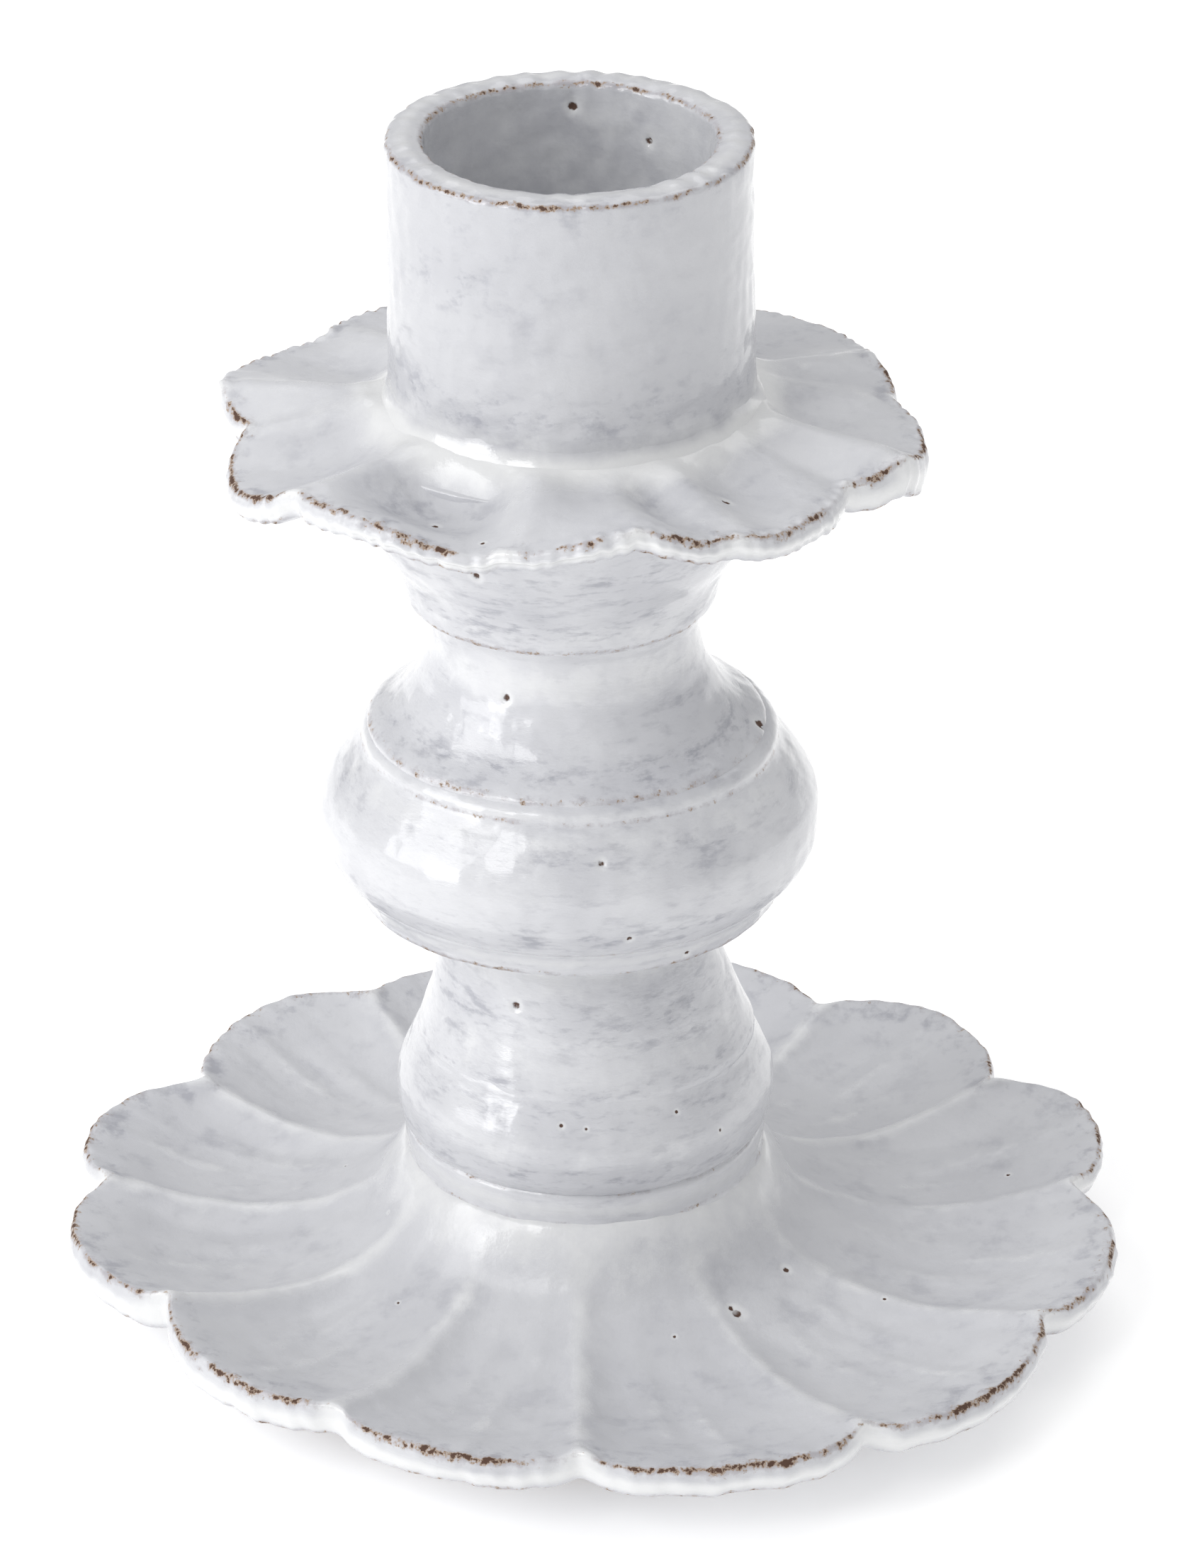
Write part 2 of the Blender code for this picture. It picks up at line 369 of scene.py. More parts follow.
def new_group(
    name: str, inputs: Sequence[tuple[str, str]], outputs: Sequence[str]
) -> tuple[Tree, dict[str, Socket], bpy.types.Node]:
    """Starts a shader node group.

    Args:
        name: the group's name.
        inputs: (name, "Float" or "Vector") of each input.
        outputs: names of its outputs, all single numbers.

    Returns:
        Its tree, its inputs' sockets by name, and its output node.
    """
    group = bpy.data.node_groups.new(name, "ShaderNodeTree")
    for label, kind in inputs:
        group.interface.new_socket(label, in_out="INPUT", socket_type="NodeSocket" + kind)
    for label in outputs:
        group.interface.new_socket(label, in_out="OUTPUT", socket_type="NodeSocketFloat")
    tree = Tree(group)
    start = tree.add("NodeGroupInput")
    end = tree.add("NodeGroupOutput")
    return tree, {label: start.outputs[label] for label, _ in inputs}, end


def mottling_group() -> bpy.types.NodeTree:
    """How thinly the glaze lies: broad clouds, brushed smudges and fine grain, the last two drawn out."""
    inputs = (("Vector", "Vector"), ("Stretch", "Float"))
    tree, given, end = new_group("Glaze mottling", inputs, ("Thin", "Smudge", "Grain"))
    drawn_out = tree.add("CombineXYZ", {0: 1.0, 1: 1.0, 2: given["Stretch"]}).outputs[0]
    vector = tree.add("VectorMath", {0: given["Vector"], 1: drawn_out}, operation="MULTIPLY").outputs[0]
    clouds = tree.spread(tree.noise(given["Vector"], 85.0, 3.0, 0.55), 0.36, 0.68)
    smudges = tree.spread(tree.noise(vector, 260.0, 6.0, 0.62), 0.50, 0.72)
    wisps = tree.spread(tree.noise(vector, 620.0, 4.0, 0.6), 0.52, 0.74)
    patchy = tree.times(smudges, tree.plus(clouds, 0.25))
    thin = tree.plus(tree.times(clouds, 0.42), tree.times(patchy, 0.55))
    thin = tree.plus(thin, tree.times(wisps, 0.16), clamp=True)
    smudge = tree.plus(smudges, tree.times(wisps, 0.7), clamp=True)
    tree.feed(end, {"Thin": thin, "Smudge": smudge, "Grain": tree.noise(vector, 1500.0, 3.0, 0.6)})
    return tree.tree


def edge_break_group() -> bpy.types.NodeTree:
    """Where the glaze pulled off an edge: dark specks of clay, in a ragged tan crust, in a grey halo."""
    inputs = (("Vector", "Vector"), ("Edge", "Float"))
    tree, given, end = new_group("Edge break", inputs, ("Clay", "Crust", "Halo"))
    stretches = tree.noise(given["Vector"], 120.0, 3.0, 0.6)
    ragged = tree.noise(given["Vector"], 620.0, 6.0, 0.72)
    beads = tree.noise(given["Vector"], 1900.0, 3.0, 0.65)
    here = tree.times(given["Edge"], tree.spread(stretches, 0.30, 0.54))
    torn = tree.plus(here, tree.centred(ragged, 2.1))
    spotted = tree.plus(torn, tree.centred(beads, 2.6))
    worn = tree.spread(given["Edge"], 0.03, 0.12)
    layers = (("Clay", spotted, 0.78, 1.0), ("Crust", spotted, 0.50, 0.80), ("Halo", torn, 0.05, 0.62))
    for name, value, low, high in layers:
        tree.feed(end, {name: tree.times(tree.spread(value, low, high), worn)})
    return tree.tree


def pinhole_group() -> bpy.types.NodeTree:
    """A dark pit with a pale ring, from the distance to its centre measured in its own radii."""
    inputs = (("Vector", "Vector"), ("Centre", "Vector"), ("Radius", "Float"))
    tree, given, end = new_group("Pinhole", inputs, ("Pit", "Ring"))
    ragged = tree.noise(given["Vector"], 2600.0, 2.0)
    apart = {0: given["Vector"], 1: given["Centre"]}
    away = tree.add("VectorMath", apart, operation="DISTANCE").outputs["Value"]
    radii = tree.plus(tree.math("DIVIDE", away, given["Radius"]), tree.centred(ragged, 0.9))
    pit = tree.minus(1.0, tree.spread(radii, 0.75, 1.1))
    tree.feed(end, {"Pit": pit, "Ring": tree.minus(1.0, tree.spread(radii, 1.4, 3.0))})
    return tree.tree


def new_material(name: str) -> tuple[bpy.types.Material, Tree, Socket]:
    """Starts a material: the material, its emptied tree, and the place on the piece in metres."""
    material = bpy.data.materials.new(name)
    material.use_nodes = True
    tree = Tree(material.node_tree)
    return material, tree, tree.add("TexCoord").outputs["Object"]


class Workshop:
    """The node groups that every finish shares."""

    def __init__(self) -> None:
        """Builds each group once."""
        self.mottling = mottling_group()
        self.edge_break = edge_break_group()
        self.pinhole = pinhole_group()


@dataclass(frozen=True)
class MilkyGlaze:
    """A glossy white tin glaze over dark clay: whiter where it pools, grey where thin, gone from edges.

    stretch draws the smudges out round a turned wall, and thin says how much grey shows through. roughness
    and coat are those of the plain glaze, and a pool is glossier. The colours are those of the glaze where
    it pools, plain and thin, of the halo and crust beside a break, and of the clay that a break lays bare.
    """

    stretch: float = 1.0
    thin: float = 0.85
    roughness: float = 0.15
    coat: float = 0.5
    pooled: Colour = (0.77, 0.775, 0.78, 1.0)
    milky: Colour = (0.625, 0.63, 0.655, 1.0)
    greyed: Colour = (0.41, 0.415, 0.455, 1.0)
    haloed: Colour = (0.34, 0.31, 0.335, 1.0)
    crust: Colour = (0.37, 0.26, 0.17, 1.0)
    clay: Colour = (0.085, 0.042, 0.026, 1.0)

    def material(self, name: str, shop: Workshop, holes: Sequence[Pinhole]) -> bpy.types.Material:
        """Builds the material for one piece.

        Args:
            name: the material's name.
            shop: the shared node groups.
            holes: burst bubbles on this piece.

        Returns:
            The finished material.
        """
        material, tree, place = new_material(name)
        mottling = tree.add("Group", {"Vector": place, "Stretch": self.stretch}, node_tree=shop.mottling)
        breaks = tree.add("Group", {"Vector": place, "Edge": tree.mark("edge")}, node_tree=shop.edge_break)
        ragged = tree.centred(tree.noise(place, 330.0, 4.0, 0.6), 0.9)
        # On the petalled plates the pool mark also carries a painted highlight on the ribs, and the thin
        # mark carries painted shade in the hollows.
        pool = tree.spread(tree.plus(tree.mark("pool"), ragged), 0.12, 0.88)
        smudged = tree.times(tree.plus(mottling.outputs["Smudge"], 0.12), tree.mark("thin"))
        thin = tree.plus(tree.times(mottling.outputs["Thin"], self.thin), smudged)
        thin = tree.minus(thin, tree.times(pool, 0.8), clamp=True)
        colour = tree.mix(thin, self.milky, self.greyed)
        colour = tree.mix(pool, colour, self.pooled)
        colour = tree.mix(tree.times(breaks.outputs["Halo"], 0.55), colour, self.haloed)
        colour = tree.mix(tree.times(breaks.outputs["Crust"], 0.85), colour, self.crust)
        colour = tree.mix(breaks.outputs["Clay"], colour, self.clay)
        bare = tree.math("MAXIMUM", breaks.outputs["Clay"], tree.times(breaks.outputs["Crust"], 0.5))
        for hole in holes:
            centre = tuple(c * MM for c in hole.centre)
            inputs = {"Vector": place, "Centre": centre, "Radius": hole.radius * MM}
            spot = tree.add("Group", inputs, node_tree=shop.pinhole)
            colour = tree.mix(tree.times(spot.outputs["Ring"], 0.5), colour, self.pooled)
            colour = tree.mix(spot.outputs["Pit"], colour, self.clay)
            bare = tree.math("MAXIMUM", bare, spot.outputs["Pit"])
        rough = tree.plus(tree.times(thin, 0.10), self.roughness)
        rough = tree.minus(rough, tree.times(pool, self.roughness - 0.1))
        rough = tree.plus(rough, tree.times(bare, 0.5), clamp=True)
        skin = tree.minus(mottling.outputs["Grain"], tree.times(thin, 0.8))
        skin = tree.minus(skin, tree.times(bare, 2.5))
        relief = tree.add("Bump", {"Strength": 0.28, "Distance": 0.00012, "Height": skin}).outputs[0]
        coat = tree.minus(tree.plus(tree.times(pool, 0.3), self.coat), bare, clamp=True)
        inputs = {"Base Color": colour, "Roughness": rough, "Normal": relief, "Coat Weight": coat}
        inputs |= {"IOR": 1.52, "Coat Roughness": 0.04}
        tree.add("OutputMaterial", {"Surface": tree.add("BsdfPrincipled", inputs).outputs[0]})
        return material


@dataclass(frozen=True)
class BareClay:
    """Dark unglazed clay with fine sand in it, rubbed paler where it stands on the table."""

    body: Colour = (0.115, 0.060, 0.040, 1.0)
    dusty: Colour = (0.26, 0.16, 0.115, 1.0)

    def material(self, name: str) -> bpy.types.Material:
        """Builds the material for one piece."""
        material, tree, place = new_material(name)
        sand = tree.noise(place, 1900.0, 4.0, 0.7)
        patches = tree.spread(tree.noise(place, 160.0, 3.0), 0.45, 0.75)
        rubbed = tree.plus(tree.times(tree.mark("edge"), 0.6), patches, clamp=True)
        colour = tree.mix(tree.times(rubbed, tree.spread(sand, 0.35, 0.65)), self.body, self.dusty)
        rough = tree.plus(tree.times(sand, 0.2), 0.72, clamp=True)
        relief = tree.add("Bump", {"Strength": 0.6, "Distance": 0.0003, "Height": sand}).outputs[0]
        shader = tree.add("BsdfPrincipled", {"Base Color": colour, "Roughness": rough, "Normal": relief})
        tree.add("OutputMaterial", {"Surface": shader.outputs[0]})
        return material


def dress(piece: bpy.types.Object, node: str, slot: Slot, material: bpy.types.Material) -> None:
    """Gives a piece its material, and says what it rides on, which slot it takes and what it replaces."""
    piece.data.materials.append(material)
    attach(piece, "root")
    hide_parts(node)
    log.info("%s: %d points, slot %s", piece.name, len(piece.data.vertices), slot.value)


def glaze_over(skin: Skin, node: str, shop: Workshop, glaze: MilkyGlaze) -> None:
    """Makes a skin's mesh and dresses it in the glaze, in place of that CAD node."""
    piece = skin.build()
    dress(piece, node, Slot.GLAZE, glaze.material(piece.name, shop, skin.holes))


# Turned members

# Picks the slow wobble that all the stem's members share, so that they meet.
STEM_SEED = 11


@dataclass(frozen=True)
class Mark:
    """A line round a turned member where the glaze broke, pooled or smudged."""

    height: float
    width: float
    strength: float


@dataclass(frozen=True)
class TurnedMember:
    """A hollow member thrown on the wheel.

    outline holds (radius, height) from the foot up, and runs a little into both neighbours. axis_x holds
    the axis's x at the outline's foot and at its top. rings is the size of the throwing rings, and step the
    distance between the outline's rows.
    """

    node: str
    outline: tuple[tuple[float, float], ...]
    axis_x: tuple[float, float]
    wall: float = 3.3
    breaks: tuple[Mark, ...] = ()
    pools: tuple[Mark, ...] = ()
    smudges: tuple[Mark, ...] = ()
    holes: tuple[Pinhole, ...] = ()
    rings: float = 0.028
    seed: int = 3
    step: float = 0.22
    columns: int = 640

    def profile(self) -> tuple[Array, int]:
        """The closed profile, outer side up and inner side down, and the number of its outer points."""
        outer = line_through(self.outline, self.step)
        inner = line_through(self.outline, 6 * self.step)[::-1]
        inner[:, 0] -= self.wall
        return np.concatenate([outer, inner]), len(outer)

    def axis_at(self, height: Array) -> Array:
        """The axis's x at a height: a straight line between its two ends."""
        foot, top = self.outline[0][1], self.outline[-1][1]
        share = np.clip((height - foot) / (top - foot), 0.0, 1.0)
        return self.axis_x[0] + (self.axis_x[1] - self.axis_x[0]) * share

    def banded(self, height: Array, group: Sequence[Mark]) -> Array:
        """The sum of the group's marks at each height, each a bell across its line."""
        bells = (mark.strength * bump(height, mark.height, mark.width) for mark in group)
        return sum(bells, np.zeros(height.shape))

    def skin(self) -> Skin:
        """Carries the profile round, its radius made uneven by the hand's wobble and the rings."""
        profile, outside = self.profile()
        turn = full_turn(self.columns)
        radius, height = profile[:, :1], profile[:, 1:]
        showing = (np.arange(len(profile)) < outside)[:, None]
        uneven = hand_wobble(turn, height, STEM_SEED, 0.16, 30.0, 4)
        uneven = uneven + hand_wobble(turn, height, self.seed, 0.05, 6.0, 9)
        uneven = uneven + throwing_rings(turn, height, self.seed, self.rings) * showing
        level = height + hand_wobble(turn, 0.2 * height, STEM_SEED + 1, 0.14, 30.0, 3)
        radius = radius + uneven
        places = carried_round(self.axis_at(height), radius, turn, level)
        skin = dimples(places, self.seed, 0.026, 2.8) + dimples(places, self.seed + 100, 0.008, 1.3)
        holes = settled(places, self.holes)
        places = pushed_in(places, pits_at(places, holes) + skin)
        flat = np.ones(turn.shape)
        edge, pool, thin = (self.banded(height, group) for group in (self.breaks, self.pools, self.smudges))
        marks = {"edge": edge * showing * flat, "pool": np.clip(pool, 0, 1) * flat, "thin": thin * flat}
        return Skin(self.node + "_glazed", places, marks, False, holes)

    def build(self, shop: Workshop, glaze: MilkyGlaze) -> None:
        """Makes the member and dresses it."""
        glaze_over(self.skin(), self.node, shop, glaze)


STEM = (
    TurnedMember(
        "stem_foot_coil",
        (
            (17.6, 12.4), (17.9, 12.9), (17.85, 13.4), (17.65, 13.9), (17.4, 14.35), (17.15, 14.8),
            (16.98, 15.25), (16.95, 15.75), (17.0, 16.35), (17.1, 17.0), (17.05, 17.6), (16.9, 18.1),
            (16.5, 18.5), (15.9, 18.8),
        ),
        (-1.0, -0.95),
        breaks=(Mark(15.3, 0.25, 0.24), Mark(18.3, 0.25, 0.24)),
        pools=(Mark(16.8, 0.9, 0.5), Mark(13.4, 1.1, 0.75)),
        seed=21,
    ),
    TurnedMember(
        "lower_bulb",
        (
            (15.9, 17.9), (16.65, 18.25), (17.05, 18.6), (17.55, 19.4), (17.85, 20.7), (17.95, 22.0),
            (17.75, 23.5), (17.1, 25.1), (16.45, 26.5), (16.12, 27.2), (15.85, 27.9), (15.4, 28.5),
            (14.6, 28.8),
        ),
        (-0.94, -0.94),
        pools=(Mark(22.5, 3.5, 0.20),),
        smudges=(Mark(20.4, 1.8, 0.45), Mark(26.0, 1.2, 0.4)),
        holes=(
            Pinhole((-3.0, -16.6, 25.9), 0.2, 0.15), Pinhole((-0.7, -16.8, 25.7), 0.15, 0.1),
            Pinhole((7.6, -14.3, 26.0), 0.17, 0.1), Pinhole((11.7, -12.5, 23.0), 0.18, 0.1),
        ),
        seed=22,
    ),
    TurnedMember(
        "lower_neck",
        (
            (15.2, 26.6), (15.9, 27.3), (15.9, 28.0), (15.6, 28.8), (15.05, 30.2), (14.46, 31.8),
            (13.96, 33.4), (13.46, 35.1), (12.75, 37.5), (12.25, 39.2), (12.0, 41.2), (12.0, 43.0),
        ),
        (-0.76, -2.0),
        pools=(Mark(40.0, 3.0, 0.5), Mark(31.0, 2.6, 0.25)),
        smudges=(Mark(34.0, 2.6, 0.45), Mark(28.6, 0.8, 0.5)),
        holes=(Pinhole((-7.3, -11.9, 35.9), 0.36, 0.3),),
        seed=23,
    ),
    TurnedMember(
        "knop_base",
        (
            (11.4, 41.2), (12.4, 41.75), (15.0, 42.0), (17.8, 42.4), (19.2, 42.85), (19.65, 43.3),
            (19.75, 43.7), (19.95, 44.2), (20.35, 44.95), (20.65, 45.5), (20.5, 45.95), (19.9, 46.3),
        ),
        (-2.46, -2.4),
        wall=2.9,
        breaks=(Mark(43.2, 0.3, 0.52),),
        smudges=(Mark(44.6, 0.8, 0.4),),
        pools=(Mark(44.6, 0.7, 0.45),),
        holes=(Pinhole((8.5, -16.6, 43.9), 0.22, 0.15),),
        rings=0.015,
        seed=24,
    ),
    TurnedMember(
        "main_knop",
        (
            (19.9, 45.2), (20.55, 45.55), (21.1, 45.95), (21.7, 46.5), (22.35, 47.4), (22.85, 48.4),
            (23.1, 49.5), (23.2, 50.9), (23.2, 51.9), (22.95, 52.95), (22.6, 53.8), (22.1, 54.7),
            (21.4, 55.7), (20.7, 56.6), (19.95, 57.5), (19.5, 58.2), (19.38, 58.65), (19.3, 59.05),
            (18.95, 59.5), (18.45, 59.9), (17.7, 60.15),
        ),
        (-2.36, -2.3),
        breaks=(Mark(58.5, 0.2, 0.40), Mark(45.7, 0.25, 0.3)),
        smudges=(Mark(48.2, 1.4, 0.55), Mark(56.0, 1.2, 0.35)),
        pools=(Mark(57.0, 1.4, 0.3), Mark(59.1, 0.5, 0.35)),
        holes=(
            Pinhole((0.6, -21.2, 55.7), 0.30, 0.3), Pinhole((3.3, -22.2, 48.4), 0.26, 0.2),
        ),
        seed=25,
    ),
    TurnedMember(
        "shoulder_bell",
        (
            (18.3, 59.3), (18.55, 59.65), (18.5, 60.0), (18.2, 60.35), (17.7, 60.7), (17.05, 61.1),
            (16.2, 61.7), (15.2, 62.7), (14.3, 63.9), (13.55, 65.2), (13.0, 66.4), (12.65, 67.6),
            (12.4, 69.3), (12.5, 70.8), (12.9, 72.1), (13.0, 73.2),
        ),
        (-2.6, -2.95),
        breaks=(Mark(60.1, 0.35, 0.40),),
        smudges=(Mark(61.6, 1.1, 0.6),),
        pools=(Mark(69.0, 2.2, 0.4),),
        holes=(Pinhole((-7.9, -11.4, 67.4), 0.34, 0.3), Pinhole((15.3, -2.4, 60.2), 0.6, 0.3)),
        seed=26,
    ),
    TurnedMember(
        "collar_bell",
        (
            (12.6, 72.2), (13.6, 72.5), (14.05, 72.85), (14.3, 73.4), (14.5, 74.5), (14.8, 75.7),
            (15.25, 76.8), (16.0, 77.9), (17.0, 79.6), (18.0, 82.0), (18.8, 85.0), (19.4, 88.0),
            (19.6, 90.0),
        ),
        (-3.2, -2.95),
        breaks=(Mark(72.9, 0.32, 0.48),),
        smudges=(Mark(75.0, 1.6, 0.6), Mark(80.5, 3.0, 0.4)),
        pools=(Mark(74.3, 0.9, 0.25),),
        holes=(Pinhole((-10.6, -16.2, 81.7), 0.36, 0.3),),
        rings=0.03,
        seed=27,
    ),
)


# Petalled plates


@dataclass(frozen=True)
class Petal:
    """One petal of a plate, from its first notch on.

    start is the notch's direction in degrees. notch_r and notch_z place the rim's upper edge there, tip_r
    and tip_z at the petal's tip, and tip_at says how far across the petal the tip lies. rib is the height of
    the ridge that runs out to the notch, scoop the depth of the petal's hollow, and face the height of the
    rim's face at the notch. twist says how far the ridge turns on its way in, in degrees. tilt is how much
    higher the petal lies at its first notch than at its last, which leaves a step to the next petal.
    """

    start: float
    notch_r: float
    notch_z: float
    tip_r: float
    tip_z: float
    tip_at: float = 0.5
    rib: float = 0.45
    scoop: float = 0.8
    face: float = 2.6
    twist: float = 0.0
    tilt: float = 0.0


# How a lobe's height rises to its tip, as a power.
LOBE_RISE = 1.3

# Each petal's short ribs: how far across it and how far out they lie, and their share of the full height.
SHORT_RIBS = ((0.36, 0.50, 0.8), (0.55, 0.72, 1.0), (0.70, 0.40, 0.6))


@dataclass(frozen=True)
class PetalPlate:
    """A pressed plate with petals round a hub.

    run and underside hold (radius, height) of the two sides without ribs, from the hub out. hub_r is where
    the petals begin, and hole_r the radius of the hole in the middle, or 0 for none. hub_x and rim_x are the
    x of the middle at the hub and at the rim.

    rib_width is a rib's half width, rib_soft the length over which all relief is smoothed, and midrib the
    height of the short ribs between. hollow_from and hollow_to say how far out, from 0 to 1, a hollow is
    full and where it starts to fade. roundness shapes the lobes, and soften_deg smooths the rim. lip and
    lower_lip are the radii of the rim's two edges, tip_round what the upper one gains at a tip, uneven the
    hand's wobble along the rim, and beads the size of the glaze's beads there. hub_pool says how thick the
    glaze lies round the hub, hub_spread how far out, and rib_pool_and_highlight how much whiter the ribs
    are painted: partly glaze pooled there, partly a painted highlight along the ridges.
    """

    node: str
    petals: tuple[Petal, ...]
    run: tuple[tuple[float, float], ...]
    hub_r: float
    hub_x: float
    rim_x: float
    hole_r: float
    underside: tuple[tuple[float, float], ...]
    rib_width: float
    rib_soft: float
    seed: int
    midrib: float = 0.4
    hollow_from: float = 0.5
    hollow_to: float = 0.72
    roundness: float = 0.55
    soften_deg: float = 0.8
    lip: float = 0.6
    tip_round: float = 0.5
    lower_lip: float = 0.9
    uneven: float = 0.12
    beads: float = 0.07
    hub_pool: float = 0.6
    hub_spread: float = 0.07
    # Whiter ribs: partly pooled glaze, partly a painted highlight along the ridges.
    rib_pool_and_highlight: float = 0.6
    columns: int = 860
    rows_out: int = 62

    def column(self, name: str) -> Array:
        """One value of every petal, with the first repeated at the end."""
        values = [getattr(petal, name) for petal in self.petals]
        return np.array([*values, values[0]], float)

    def notches(self) -> Array:
        """Directions of the notches in degrees, the first once more at the end, a full turn on."""
        starts = [petal.start for petal in self.petals]
        return np.array([*starts, starts[0] + 360.0])

    def across(self, turn_deg: Array) -> tuple[Array, Array]:
        """Which petal each direction falls in, and how far across it, from 0 to 1."""
        notches = self.notches()
        turn = (turn_deg - notches[0]) % 360.0 + notches[0]
        which = np.searchsorted(notches[:-1], turn, side="right") - 1
        return which, (turn - notches[which]) / np.diff(notches)[which]

    def rim(self, turn_deg: Array) -> tuple[Array, Array, Array]:
        """The rim's radius, upper height and face height in each direction.

        Each is a straight line between the notches, plus a lobe to the tip's value: sin(pi u) to a power,
        where u is the way across with its middle moved to the tip.
        """
        which, share = self.across(turn_deg)
        at = self.column("tip_at")[which]
        lobe = np.sin(math.pi * np.where(share < at, share / (2 * at), 1 - (1 - share) / (2 * (1 - at))))
        found = []
        for notch, tip, power in (("notch_r", "tip_r", self.roundness), ("notch_z", "tip_z", LOBE_RISE)):
            low = self.column(notch)
            line = low[which] + (low[which + 1] - low[which]) * share
            middle = low[which] + (low[which + 1] - low[which]) * at
            found.append(soften(line + (self.column(tip)[which] - middle) * lobe**power, self.soften_deg))
        face = self.column("face")
        return found[0], found[1], soften(face[which] + (face[which + 1] - face[which]) * share, 2.0)

    def near_notch(self, turn_deg: Array, width: float) -> Array:
        """A bell round each notch, as wide along the rim as the width given in millimetres."""
        which, share = self.across(turn_deg)
        degrees = np.minimum(share, 1.0 - share) * np.diff(self.notches())[which]
        return bump(np.radians(degrees) * self.column("notch_r")[which], 0.0, width)

    def relief(self, turn_deg: Array, radius: Array, reach: Array) -> tuple[Array, Array, Array]:
        """Height of the scoops and ribs over the plate's plain run.

        A petal's hollow is scoop sin(pi t)^1.3, and its tilt a straight slope across it. A rib is a bell
        across the distance to its notch's line, with a shallow valley on its far side, and each petal has
        short ribs between. The whole is smoothed round the axis, by the same length at each radius.

        Args:
            turn_deg: direction of each column.
            radius: radius of each point.
            reach: how far out each point lies, from 0 at the hub to 1 at the rim.

        Returns:
            The height, a mark that is high on the ribs, and one that is high in the hollows.
        """
        notches = self.notches()
        twist = np.interp((turn_deg - notches[0]) % 360.0 + notches[0], notches, self.column("twist"))
        which, share = self.across(turn_deg - twist * (1.0 - reach))
        width = np.diff(notches)[which]
        before = np.radians(share * width) * radius
        after = np.radians((1.0 - share) * width) * radius
        ribs = self.column("rib")
        grown = ease(reach / 0.2) * (1.0 - 0.35 * ease((reach - 0.85) / 0.15))
        crest = ribs[which] * bump(before, 0.0, self.rib_width)
        crest += ribs[which + 1] * bump(after, 0.0, 0.8 * self.rib_width)
        valley = 0.4 * ribs[which] * bump(before, 2.4 * self.rib_width, 1.3 * self.rib_width)
        short = np.zeros(before.shape)
        for place, out, height in SHORT_RIBS:
            off = np.radians((share - place) * width) * radius
            short += height * self.midrib * bump(off, 0.0, 0.7 * self.rib_width) * bump(reach, out, 0.3)
        hollow = np.sin(math.pi * share) ** 1.3 * ease((reach - 0.05) / self.hollow_from)
        hollow = hollow * (1.0 - 0.85 * ease((reach - self.hollow_to) / (1.0 - self.hollow_to)))
        scooped = self.column("scoop")[which] * hollow
        slope = self.column("tilt")[which] * (0.5 - share) * grown
        height = (crest - valley) * grown + slope - scooped + short
        height = soften(height, np.degrees(self.rib_soft / radius.mean(axis=1, keepdims=True)))
        # The rib mark later whitens the ribs, partly as pooled glaze and partly as a painted highlight. The
        # hollow mark greys the hollows, partly as thin glaze and partly as painted shade.
        return height, np.clip(crest * 1.6 + short * 1.2, 0, 1) * grown, scooped

    def skin(self, holes: Sequence[Pinhole]) -> Skin:
        """Builds the closed surface: out along the top, round the rim's face, and back underneath."""
        turn_deg = np.linspace(0.0, 360.0, self.columns, endpoint=False)
        turn = np.radians(turn_deg)
        rim_r, rim_z, face = self.rim(turn_deg)
        out_beads = ripples(turn, self.seed + 3, self.beads, 40, 170)
        up_beads = ripples(turn, self.seed + 4, self.beads, 40, 150) + 0.3 * self.near_notch(turn_deg, 1.3)
        rim_r = rim_r + hand_wobble(turn, 0.0, self.seed, self.uneven, 9.0, 60)
        rim_z = rim_z + hand_wobble(turn, 0.0, self.seed + 1, self.uneven, 9.0, 40)
        run = line_through(self.run, 0.4)
        reach = np.linspace(0.0, 1.0, self.rows_out)[:, None] ** 0.9
        at_edge = ease((reach - 0.93) / 0.07)
        edge_r = rim_r - self.lip
        radius = self.hub_r + (edge_r - self.hub_r) * reach + out_beads * at_edge
        edge_r, rim_r = edge_r + out_beads, rim_r + out_beads
        plain = np.interp(radius, run[:, 0], run[:, 1])
        at_rim = np.interp(rim_r, run[:, 0], run[:, 1])
        lifted = plain + (rim_z - at_rim) * ease((reach - 0.05) / 0.95)
        relief, crest, hollow = self.relief(turn_deg[None, :], radius, reach)
        top = np.stack([radius, lifted + relief + up_beads * at_edge], axis=-1)
        upper, side, lower = self.rolled_rim(edge_r, rim_r, top[-1, :, 1], face, turn_deg)
        under = line_through(self.underside, 0.4)
        back = np.linspace(1.0, 0.0, 22)[1:, None]
        last_r = side[-1, :, 0] - self.lower_lip
        under_r = self.hub_r + (last_r - self.hub_r) * back
        rim_drop = lower[-1, :, 1] - np.interp(last_r, under[:, 0], under[:, 1])
        under_z = np.interp(under_r, under[:, 0], under[:, 1]) + rim_drop * ease((back - 0.3) / 0.7)
        beneath = np.stack([under_r, under_z], axis=-1)
        rows = [self.hub(top[0], True), top, upper, side, lower, beneath, self.hub(beneath[-1], False)]
        grid = np.concatenate(rows)
        slide = np.clip((grid[..., 0] - self.hub_r) / (rim_r - self.hub_r), 0.0, 1.0)
        axis_x = self.hub_x + (self.rim_x - self.hub_x) * slide
        places = carried_round(axis_x, grid[..., 0], turn[None, :], grid[..., 1])
        skin = dimples(places, self.seed + 2, 0.06, 5.0) + dimples(places, self.seed + 6, 0.014, 1.9)
        holes = settled(places, holes)
        places = pushed_in(places, pits_at(places, holes) + skin)
        marks = self.marks([len(part) for part in rows], crest, hollow, turn_deg)
        return Skin(self.node + "_glazed", places, marks, self.hole_r == 0, holes)

